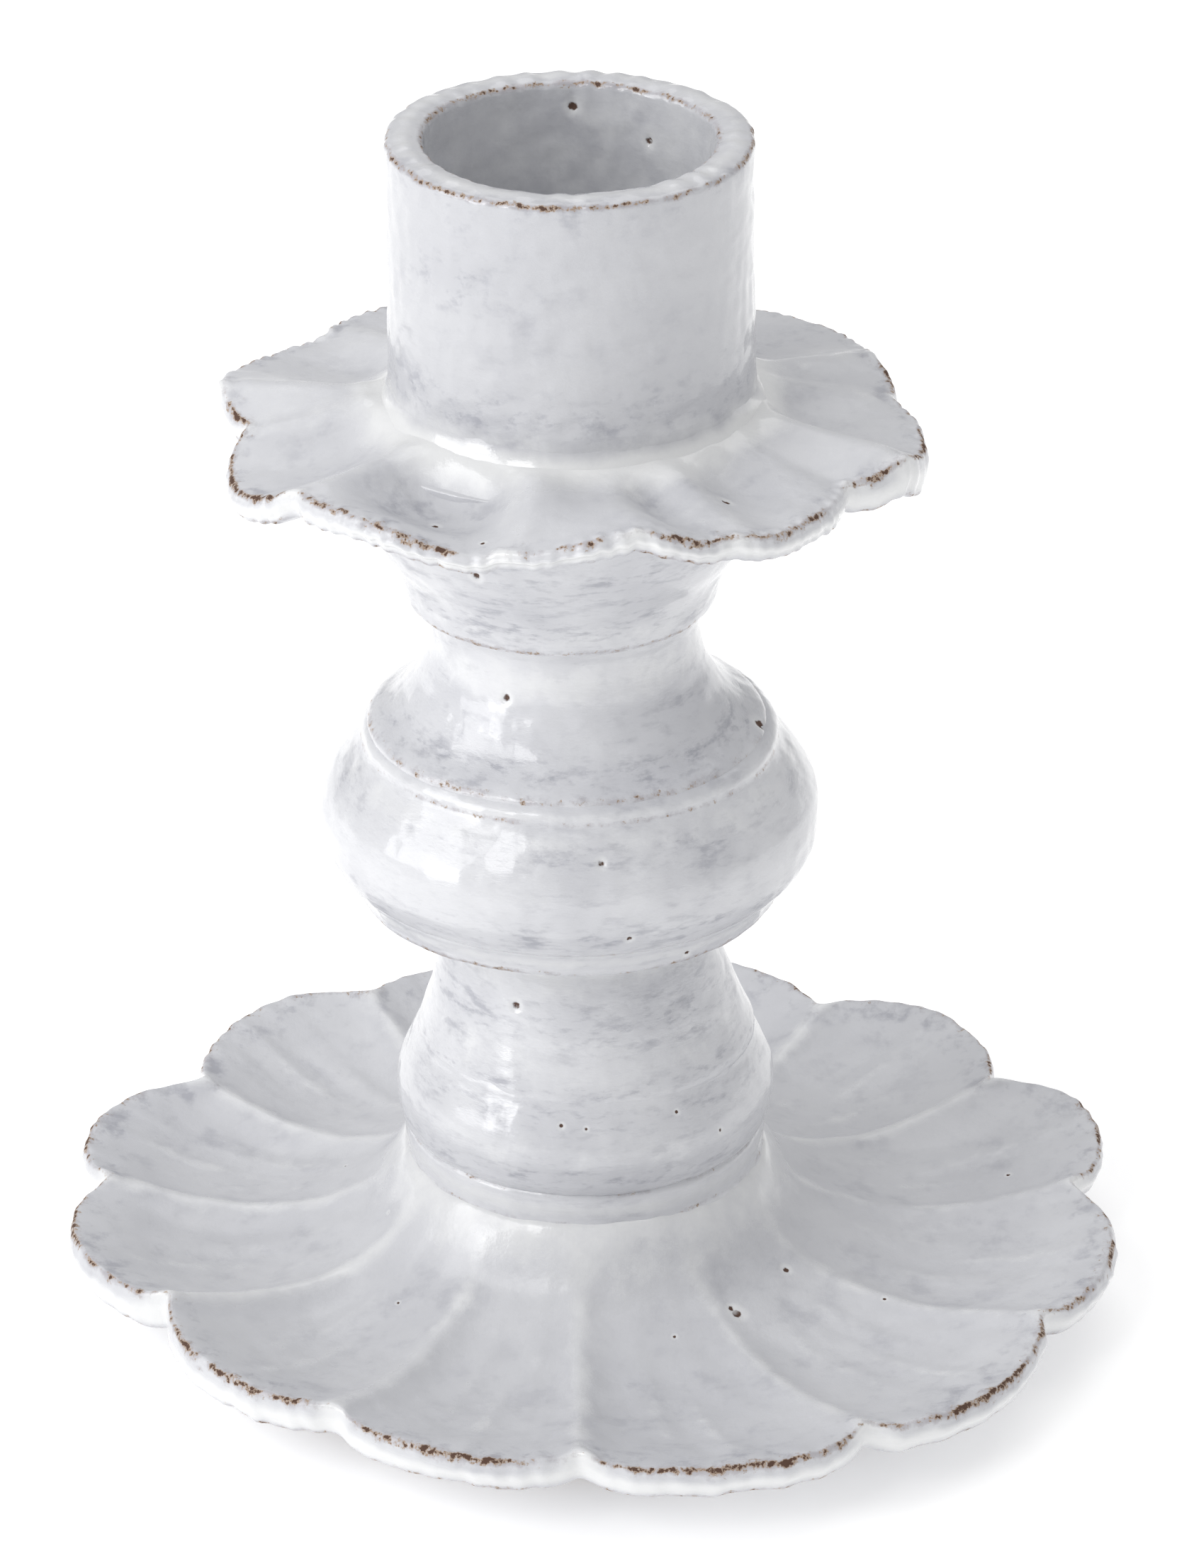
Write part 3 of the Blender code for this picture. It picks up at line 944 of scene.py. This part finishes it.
    def rolled_rim(
        self, edge_r: Array, rim_r: Array, edge_z: Array, face: Array, turn_deg: Array
    ) -> tuple[Array, Array, Array]:
        """Rows of (radius, height) round the rim: its rounded upper edge, its face and its lower edge.

        The upper edge is a quarter of an ellipse, deeper at the petals' tips. The face swells by a low sine,
        and the lower edge is a quarter of a circle.

        Args:
            edge_r: radius of the top's last row.
            rim_r: radius of the face.
            edge_z: height of the top's last row.
            face: height of the face.
            turn_deg: direction of each column.
        """
        _, share = self.across(turn_deg)
        droop = self.lip + self.tip_round * np.sin(math.pi * share) ** 2
        bend = np.radians(np.linspace(90.0, 5.0, 9))[1:, None]
        upper = np.stack([edge_r + self.lip * np.cos(bend), edge_z - droop * (1 - np.sin(bend))], axis=-1)
        down = np.linspace(0.0, 1.0, 9)[1:, None]
        foot_z = edge_z - face + self.lower_lip
        side_r = rim_r + 0.22 * np.sin(math.pi * down) - 0.15 * down
        side = np.stack([side_r, upper[-1, :, 1] + (foot_z - upper[-1, :, 1]) * down], axis=-1)
        bend = np.radians(np.linspace(0.0, -88.0, 8))[1:, None]
        lower_r = side[-1, :, 0] - self.lower_lip * (1 - np.cos(bend))
        return upper, side, np.stack([lower_r, foot_z + self.lower_lip * np.sin(bend)], axis=-1)

    def hub(self, seam: Array, upper: bool) -> Array:
        """Rows between the hub and the middle hole or pole, at the height of the seam they join."""
        inner = self.hole_r if self.hole_r > 0 else 0.6
        share = np.linspace(0.0, 1.0, 5)[:-1, None] if upper else np.linspace(1.0, 0.0, 5)[1:, None]
        level = seam[:, 1].mean()
        height = level + (seam[None, :, 1] - level) * share
        return np.stack([inner + (seam[None, :, 0] - inner) * share, height], axis=-1)

    def marks(
        self, counts: Sequence[int], crest: Array, hollow: Array, turn_deg: Array
    ) -> dict[str, Array]:
        """Where the glaze broke, pooled or lies thin, with painted highlight on the ribs and painted shade
        in the hollows, for every row of the skin.

        The rim's upper edge breaks most, most of all at the petals' tips. The rim's face, the notches and
        the hub's foot pool, and a band inside the rim lies thin. The ribs are whitened, partly as pooled
        glaze and partly as a painted highlight, and the hollows are greyed, partly as thin glaze and partly
        as painted shade.

        Args:
            counts: rows of the hub, top, upper edge, face, lower edge, underside and lower hub.
            crest: how much of a rib each point of the top is.
            hollow: how deep in a hollow each point of the top lies.
            turn_deg: direction of each column.

        Returns:
            The three marks by name.
        """
        starts = np.cumsum([0, *counts])
        top = slice(starts[1], starts[2])
        index = np.arange(starts[-1])[:, None]
        out = np.linspace(0.0, 1.0, counts[1])[:, None]
        lip_row = starts[2] + 2
        _, share = self.across(turn_deg)
        tips = (0.62 + 0.38 * np.sin(math.pi * share))[None, :]
        edge = tips * np.where(index < lip_row, bump(index, lip_row, 2.8), bump(index, lip_row, 3.6))
        edge = edge + 0.55 * bump(index, starts[4] + 3, 2.0)
        edge = edge * (index >= starts[1]) * (index < starts[5] + 3)
        edge *= 1.0 - 0.6 * self.near_notch(turn_deg, 1.0)
        edge[top] += 0.12 * crest * ease((out - 0.75) / 0.25)
        pool = 0.9 * bump(index, 0.5 * (starts[3] + starts[4]) + 1, 4.0) * np.ones(self.columns)
        pool += 0.8 * self.near_notch(turn_deg, 1.8) * bump(index, lip_row + 2, 5.0)
        # The ribs are painted whiter: partly pooled glaze, partly a painted highlight along the ridges.
        pool[top] += self.rib_pool_and_highlight * crest + self.hub_pool * bump(out, 0.0, self.hub_spread)
        thin = np.zeros(pool.shape)
        # The hollows are painted greyer: partly thin glaze, partly painted shade. The band inside the rim is
        # thin glaze.
        thin[top] += 0.22 * hollow + 0.7 * bump(out, 0.95, 0.06)
        return {"edge": np.clip(edge, 0, 1.2), "pool": np.clip(pool, 0, 1), "thin": thin}

    def build(self, shop: Workshop, glaze: MilkyGlaze, holes: Sequence[Pinhole]) -> None:
        """Makes the plate and dresses it."""
        glaze_over(self.skin(holes), self.node, shop, glaze)


DISH = PetalPlate(
    node="base_dish",
    petals=(
        Petal(3.0, 45.3, 8.5, 51.3, 9.0, 0.66, rib=0.35, scoop=0.7, face=2.7, tilt=-0.15),
        Petal(29.0, 43.7, 8.7, 50.2, 8.9, 0.59, rib=0.50, scoop=1.0, tilt=-0.3),
        Petal(58.5, 43.6, 8.4, 48.5, 9.1, rib=0.45, scoop=0.9, tilt=-0.2),
        Petal(89.0, 44.2, 8.5, 48.6, 8.6, 0.66, rib=0.45, scoop=0.9, tilt=-0.15),
        Petal(120.0, 44.6, 8.9, 50.2, 9.2, 0.38, rib=0.45, scoop=0.9, tilt=-0.15),
        Petal(150.0, 43.9, 8.6, 50.9, 9.2, 0.50, rib=0.45, scoop=0.8, face=2.8, tilt=-0.15),
        Petal(177.0, 46.0, 9.1, 50.3, 9.5, 0.42, rib=0.45, scoop=0.9, face=3.2, tilt=-0.2),
        Petal(207.5, 44.2, 10.0, 47.7, 9.8, 0.42, rib=0.60, scoop=1.1, face=4.2, tilt=-0.3),
        Petal(239.0, 45.7, 9.8, 48.6, 9.6, 0.55, rib=0.45, scoop=0.7, face=3.5, tilt=-0.15),
        Petal(268.5, 46.6, 9.4, 50.3, 9.1, 0.68, rib=0.45, scoop=0.8, face=3.3, tilt=-0.15),
        Petal(300.5, 47.5, 9.0, 50.9, 8.8, 0.42, rib=0.35, scoop=0.7, face=3.3, tilt=-0.15),
        Petal(332.0, 46.9, 8.8, 50.4, 8.8, 0.55, rib=0.35, scoop=0.7, face=3.1, tilt=-0.15),
    ),
    run=(
        (16.0, 16.0), (16.6, 15.7), (17.2, 15.1), (17.8, 14.2), (18.4, 13.1), (19.2, 11.6), (20.2, 10.2),
        (21.4, 9.1), (23.4, 7.95), (26.0, 7.0), (30.0, 6.25), (34.0, 6.1), (38.0, 6.6), (42.0, 7.5),
        (46.0, 8.6), (52.0, 9.9),
    ),
    hub_r=16.6,
    hub_x=-1.0,
    rim_x=0.0,
    hole_r=9.5,
    underside=(
        (9.0, 9.4), (13.0, 9.2), (18.0, 7.2), (24.0, 4.2), (30.0, 3.1), (36.0, 3.1), (42.0, 4.2),
        (50.0, 6.4),
    ),
    rib_width=1.3,
    rib_soft=0.9,
    seed=31,
)

DISH_HOLES = (
    Pinhole((13.3, -19.8, 7.1), 0.5, 0.2), Pinhole((12.7, -19.4, 7.2), 0.3, 0.15),
    Pinhole((18.1, -13.0, 7.6), 0.3, 0.12), Pinhole((7.3, -23.1, 7.0), 0.16, 0.1),
    Pinhole((-18.5, -6.3, 9.6), 0.14, 0.1), Pinhole((-18.5, -17.4, 6.9), 0.15, 0.1),
    Pinhole((27.5, -15.4, 6.1), 0.18, 0.1), Pinhole((40.0, 7.9, 7.1), 0.2, 0.1),
    Pinhole((-24.0, 8.0, 6.9), 0.14, 0.1),
)

DRIP_PAN = PetalPlate(
    node="drip_pan",
    petals=(
        Petal(10.0, 29.5, 89.3, 31.0, 90.0, 0.55, rib=0.9, scoop=0.3, face=3.2, twist=4.0, tilt=-0.8),
        Petal(25.0, 30.2, 90.3, 32.5, 89.8, rib=0.8, scoop=1.3, face=2.5),
        Petal(65.0, 30.0, 89.3, 32.2, 90.2, rib=0.8, scoop=1.2, face=2.4),
        Petal(104.0, 29.8, 89.7, 32.1, 89.8, 0.60, rib=0.8, scoop=1.2, face=2.4, tilt=-0.3),
        Petal(139.0, 29.6, 89.6, 31.9, 91.0, 0.70, rib=0.8, scoop=1.1, face=2.5, tilt=-0.4),
        Petal(174.0, 32.1, 91.3, 30.9, 90.4, rib=0.8, scoop=-0.2, face=2.9, tilt=0.6),
        Petal(184.5, 28.8, 89.3, 32.0, 88.4, 0.44, rib=1.2, scoop=1.3, face=2.5, tilt=1.0),
        Petal(217.0, 30.3, 90.4, 31.0, 91.5, 0.36, rib=0.9, scoop=3.0, face=2.9, tilt=0.9),
        Petal(259.0, 30.0, 89.4, 30.9, 91.8, 0.62, rib=1.3, scoop=-0.7, face=1.9, tilt=0.3),
        Petal(281.0, 30.5, 92.1, 31.2, 91.9, 0.35, rib=0.5, scoop=1.6, face=2.4, tilt=0.6),
        Petal(298.0, 30.8, 90.0, 31.7, 90.7, 0.30, rib=1.5, scoop=0.9, face=2.5, tilt=-0.7),
        Petal(329.0, 28.3, 89.9, 30.6, 90.2, rib=0.2, scoop=0.0, face=3.0, tilt=-0.6),
        Petal(339.0, 32.1, 90.5, 32.1, 90.1, rib=1.4, scoop=1.0, face=4.2, twist=6.0, tilt=-0.4),
    ),
    run=(
        (16.0, 93.3), (17.0, 92.7), (18.3, 92.0), (20.0, 91.45), (23.0, 91.1), (27.0, 90.8), (31.0, 90.4),
        (34.0, 90.1),
    ),
    hub_r=16.6,
    hub_x=-2.1,
    rim_x=-2.15,
    hole_r=0.0,
    underside=((16.0, 87.6), (20.0, 87.6), (23.0, 87.9), (27.0, 88.1), (31.0, 88.0), (34.0, 87.9)),
    rib_width=2.1,
    rib_soft=1.2,
    hollow_from=0.3,
    hollow_to=0.45,
    hub_pool=1.0,
    hub_spread=0.15,
    rib_pool_and_highlight=0.22,
    midrib=0.0,
    roundness=0.5,
    soften_deg=1.3,
    lip=0.65,
    tip_round=0.2,
    lower_lip=0.8,
    uneven=0.16,
    seed=41,
    columns=800,
    rows_out=64,
)

PAN_HOLES = (
    Pinhole((-13.9, -20.2, 89.4), 0.3, 0.15), Pinhole((-9.6, -26.8, 89.8), 0.2, 0.1),
    Pinhole((11.8, -19.0, 90.9), 0.4, 0.2),
)


# Foot ring, candle cup and its joint


@dataclass(frozen=True)
class FootRing:
    """The bare ring that the dish stands on: its radii, its top, and the rounding of its edges."""

    node: str = "foot_ring"
    axis_x: float = -0.5
    inner_r: float = 30.2
    outer_r: float = 36.2
    top: float = 3.4
    rounding: float = 0.9
    seed: int = 51
    columns: int = 420

    def skin(self) -> Skin:
        """A rounded square carried round the axis, with uneven sides and a worn sole."""
        r = self.rounding
        parts = (
            np.array([[self.outer_r - 0.4, self.top], [self.outer_r, self.top - 0.8]]),
            round_corner((self.outer_r - r, r), r, 0.0, -90.0, 9),
            np.linspace((self.outer_r - 1.6, 0.0), (self.inner_r + 1.6, 0.0), 9),
            round_corner((self.inner_r + r, r), r, -90.0, -180.0, 9),
            np.array([[self.inner_r, self.top - 0.8], [self.inner_r + 0.4, self.top]]),
        )
        profile = np.concatenate(parts)
        turn = full_turn(self.columns)
        radius, height = profile[:, :1], profile[:, 1:]
        off_ground = ease(height / 0.8)
        radius = radius + hand_wobble(turn, height, self.seed, 0.14, 8.0, 9) * off_ground
        chatter = np.abs(hand_wobble(turn, 3 * radius, self.seed + 1, 0.05, 9.0, 30))
        height = height + chatter * (1 - off_ground)
        places = carried_round(self.axis_x, radius, turn, height)
        sole = (1 - off_ground) * np.ones(turn.shape)
        return Skin(self.node + "_clay", places, {"edge": sole}, False)

    def build(self, clay: BareClay) -> None:
        """Makes the ring and dresses it."""
        piece = self.skin().build()
        dress(piece, self.node, Slot.CLAY, clay.material(piece.name))


@dataclass(frozen=True)
class CandleCup:
    """The straight cup that holds the candle, with its floor, and a rolled lip that the hand left wavy."""

    node: str = "candle_cup"
    axis_x: float = -2.1
    bore_r: float = 13.0
    wall: float = 3.45
    foot: float = 90.9
    floor: float = 95.2
    top: float = 117.35
    lip: float = 0.75
    seed: int = 61
    columns: int = 540

    def profile(self) -> tuple[Array, tuple[float, float]]:
        """The profile from the floor's middle, up inside, over the lip and down to the middle underneath.

        Returns:
            The profile, and how far along it, in points, the lip's inner and outer edges lie.
        """
        r, bore, outer = self.lip, self.bore_r, self.bore_r + self.wall
        floor, top = self.floor, self.top
        crown = ((bore + r, top - 0.14), (bore + 0.5 * self.wall, top), (outer - r, top - 0.14))
        outside = ((outer, top - 1.3), (outer - 0.05, 108.0), (outer, 99.0), (outer + 0.1, 94.0))
        parts = (
            line_through(((0.5, floor), (11.6, floor), (12.6, floor + 0.4), (13.0, floor + 1.5)), 0.9),
            np.linspace((bore, floor + 2.0), (bore, top - 2.0), 44),
            round_corner((bore + r, top - r - 0.15), r, 180.0, 95.0, 10),
            line_through(crown, 0.3),
            round_corner((outer - r, top - r - 0.15), r, 85.0, 0.0, 10),
            line_through((*outside, (outer + 0.1, self.foot)), 0.3),
            np.linspace((outer - 0.5, self.foot - 0.2), (0.5, self.foot - 0.2), 6),
        )
        reached = np.cumsum([len(part) for part in parts])
        return np.concatenate(parts), (reached[1] + 5, reached[3] + 5)

    def skin(self, holes: Sequence[Pinhole]) -> Skin:
        """Carries the profile round. The lip waves by a quarter of a millimetre, its edges pinched."""
        profile, (near_in, near_out) = self.profile()
        turn = full_turn(self.columns)
        radius, height = profile[:, :1], profile[:, 1:]
        index = np.arange(len(profile))[:, None]
        standing = ease((radius - 6.0) / 6.0)
        near_top = ease((height - self.top + 7.0) / 7.0)
        uneven = self.lean(turn, height) + hand_wobble(turn, height, self.seed + 1, 0.05, 4.0, 12)
        uneven = uneven + throwing_rings(turn, height, self.seed + 2, 0.02)
        at_edges = bump(index, near_in, 4.0) + bump(index, near_out, 4.0)
        pinched = ripples(turn, self.seed + 3, 0.045, 14, 80) * at_edges
        radius = radius + (uneven + pinched) * standing
        waves = hand_wobble(turn, 0.0, self.seed + 4, 0.22, 9.0, 5)
        waves = waves + ripples(turn, self.seed + 5, 0.06, 8, 50)
        places = carried_round(self.axis_x, radius, turn, height + near_top * waves)
        skin = dimples(places, self.seed + 6, 0.030, 2.4) + dimples(places, self.seed + 7, 0.010, 1.3)
        holes = settled(places, holes)
        places = pushed_in(places, pits_at(places, holes) + skin * standing)
        edge = 0.74 * bump(index, near_out, 2.6) + 0.66 * bump(index, near_in, 2.6)
        pool = 0.35 * bump(index, 0.5 * (near_in + near_out), 3.5) + 0.35 * bump(height, 94.0, 1.6)
        pool = pool + 0.3 * ease((near_in - index) / 8.0)
        thin = 0.85 * bump(height, 96.5, 2.6)
        thin = thin + 0.6 * bump(index, near_out, 7.0) + 0.5 * bump(index, near_in, 5.0)
        patch = 1.1 * bump(turn, math.radians(228.0), 0.27) * bump(height, 108.0, 2.3) * (index > near_out)
        flat = np.ones(turn.shape)
        marks = {"edge": edge * flat, "pool": pool * flat, "thin": patch + thin * flat}
        return Skin(self.node + "_glazed", places, marks, True, holes)

    def lean(self, turn: Array, height: Array) -> Array:
        """The cup's slowest unevenness, which the joint round its foot follows."""
        return hand_wobble(turn, height, self.seed, 0.14, 26.0, 5)

    def build(self, shop: Workshop, glaze: MilkyGlaze, holes: Sequence[Pinhole]) -> None:
        """Makes the cup and dresses it."""
        glaze_over(self.skin(holes), self.node, shop, glaze)


CUP_HOLES = (Pinhole((-1.9, 13.0, 115.0), 0.42, 0.35), Pinhole((4.9, 10.9, 112.4), 0.36, 0.35))


@dataclass(frozen=True)
class CupJoint:
    """The coil of clay smoothed into the corner between the cup and the pan, deep in white glaze.

    outline holds (radius, height) of the side that shows, from the top down, and hidden those of the side
    inside the cup's foot, from the bottom up.
    """

    cup: CandleCup
    node: str = "cup_joint_coil"
    outline: tuple[tuple[float, float], ...] = (
        (16.2, 95.4), (16.4, 94.5), (16.6, 93.8), (16.85, 93.2), (17.2, 92.6), (17.6, 92.0), (17.95, 91.3),
        (18.1, 90.6),
    )
    hidden: tuple[tuple[float, float], ...] = ((17.4, 89.9), (16.0, 89.9), (15.2, 90.6), (15.2, 94.6))
    seed: int = 71
    columns: int = 640

    def skin(self) -> Skin:
        """Carries the hollow curve round. Its top follows the cup, and its foot wanders a little."""
        profile = np.concatenate([line_through(self.outline, 0.25), np.array(self.hidden)])
        turn = full_turn(self.columns)
        radius, height = profile[:, :1], profile[:, 1:]
        away = ease((radius - 16.3) / 4.0)
        radius = radius + hand_wobble(turn, height, self.seed, 0.20, 20.0, 8) * away
        radius = radius + self.cup.lean(turn, height) * (1 - away)
        places = carried_round(self.cup.axis_x, radius, turn, height)
        none = np.zeros(radius.shape)
        marks = {"edge": none, "pool": 0.95 * bump(height, 92.4, 1.3) + none, "thin": none}
        return Skin(self.node + "_glazed", places, marks, False)

    def build(self, shop: Workshop, glaze: MilkyGlaze) -> None:
        """Makes the joint and dresses it."""
        glaze_over(self.skin(), self.node, shop, glaze)


# Stage


@dataclass(frozen=True)
class Softbox:
    """A soft rectangular light: where it hangs, its sides and its power. It points at the candlestick."""

    name: str
    place: tuple[float, float, float]
    sides: tuple[float, float]
    power: float
    aim: tuple[float, float, float] = (0.0, 0.0, 0.05)

    def build(self) -> None:
        """Hangs the light."""
        light = bpy.data.lights.new(self.name, "AREA")
        light.shape = "RECTANGLE"
        light.size, light.size_y = self.sides
        light.energy = self.power
        lamp = bpy.data.objects.new(self.name, light)
        lamp.location = self.place
        lamp.rotation_euler = (Vector(self.aim) - Vector(self.place)).to_track_quat("-Z", "Y").to_euler()
        bpy.context.scene.collection.objects.link(lamp)


@dataclass(frozen=True)
class Studio:
    """A pale floor, soft light and the camera. Lengths are in metres, and the lens in millimetres."""

    floor_reach: float = 6.0
    floor_white: Colour = (0.93, 0.93, 0.93, 1.0)
    floor_glow: float = 0.3
    camera_place: tuple[float, float, float] = (0.0, -0.5341, 0.3250)
    camera_tilt_deg: float = 63.0
    lens: float = 148.1
    sensor: float = 36.0
    sky: float = 0.58
    lights: tuple[Softbox, ...] = (
        Softbox("key_softbox", (-0.42, -0.62, 0.72), (0.24, 0.34), 1.05),
        Softbox("low_softbox", (-0.85, -0.52, 0.30), (0.24, 0.40), 0.9),
        Softbox("left_panel", (-1.20, -0.45, 0.75), (1.0, 1.0), 8.2),
        Softbox("top_panel", (0.12, 0.35, 1.20), (1.2, 1.2), 3.9),
    )

    def floor(self) -> None:
        """Lays the floor: one flat sheet with a matt, very faintly uneven finish and a faint glow."""
        side = self.floor_reach
        mesh = bpy.data.meshes.new("studio_floor")
        corners = [(-side, -side, 0.0), (side, -side, 0.0), (side, side, 0.0), (-side, side, 0.0)]
        mesh.from_pydata(corners, [], [(0, 1, 2, 3)])
        sheet = bpy.data.objects.new("studio_floor", mesh)
        bpy.context.scene.collection.objects.link(sheet)
        material, tree, place = new_material("pale_floor")
        rough = tree.plus(tree.times(tree.noise(place, 40.0, 2.0), 0.1), 0.8)
        inputs = {"Base Color": self.floor_white, "Roughness": rough, "Specular IOR Level": 0.1}
        inputs |= {"Emission Color": (1.0, 1.0, 1.0, 1.0), "Emission Strength": self.floor_glow}
        tree.add("OutputMaterial", {"Surface": tree.add("BsdfPrincipled", inputs).outputs[0]})
        mesh.materials.append(material)

    def light(self) -> None:
        """Hangs the lights and sets the sky to an even white."""
        for box in self.lights:
            box.build()
        world = bpy.data.worlds.new("studio_sky")
        world.use_nodes = True
        back = world.node_tree.nodes["Background"]
        back.inputs["Color"].default_value = (1.0, 1.0, 1.0, 1.0)
        back.inputs["Strength"].default_value = self.sky
        bpy.context.scene.world = world
        bpy.context.scene.view_settings.view_transform = "Standard"

    def camera(self) -> None:
        """Sets the camera."""
        eye = bpy.data.cameras.new("studio_camera")
        eye.lens = self.lens
        eye.sensor_width = self.sensor
        eye.clip_start = 0.01
        stand = bpy.data.objects.new("studio_camera", eye)
        stand.location = self.camera_place
        stand.rotation_euler = (math.radians(self.camera_tilt_deg), 0.0, 0.0)
        bpy.context.scene.collection.objects.link(stand)
        bpy.context.scene.camera = stand


# The whole candlestick


@dataclass(frozen=True)
class Candlestick:
    """All its members with their finishes."""

    turned_glaze: MilkyGlaze = MilkyGlaze(stretch=3.2, thin=0.85, milky=(0.675, 0.68, 0.705, 1.0))
    plate_glaze: MilkyGlaze = MilkyGlaze(stretch=1.0, thin=0.55, roughness=0.3, coat=0.1)
    cup_glaze: MilkyGlaze = MilkyGlaze(stretch=1.5, thin=0.62, milky=(0.585, 0.59, 0.615, 1.0))
    clay: BareClay = BareClay()

    def build(self) -> None:
        """Builds and dresses every member, from the ground up."""
        shop = Workshop()
        FootRing().build(self.clay)
        DISH.build(shop, self.plate_glaze, DISH_HOLES)
        for member in STEM:
            member.build(shop, self.turned_glaze)
        DRIP_PAN.build(shop, self.plate_glaze, PAN_HOLES)
        cup = CandleCup()
        cup.build(shop, self.cup_glaze, CUP_HOLES)
        CupJoint(cup).build(shop, self.cup_glaze)


def main() -> None:
    """Builds the candlestick and its studio."""
    logging.basicConfig(level=logging.INFO, format="%(name)s: %(message)s")
    Candlestick().build()
    studio = Studio()
    studio.floor()
    studio.light()
    studio.camera()


if __name__ == "__main__":
    main()
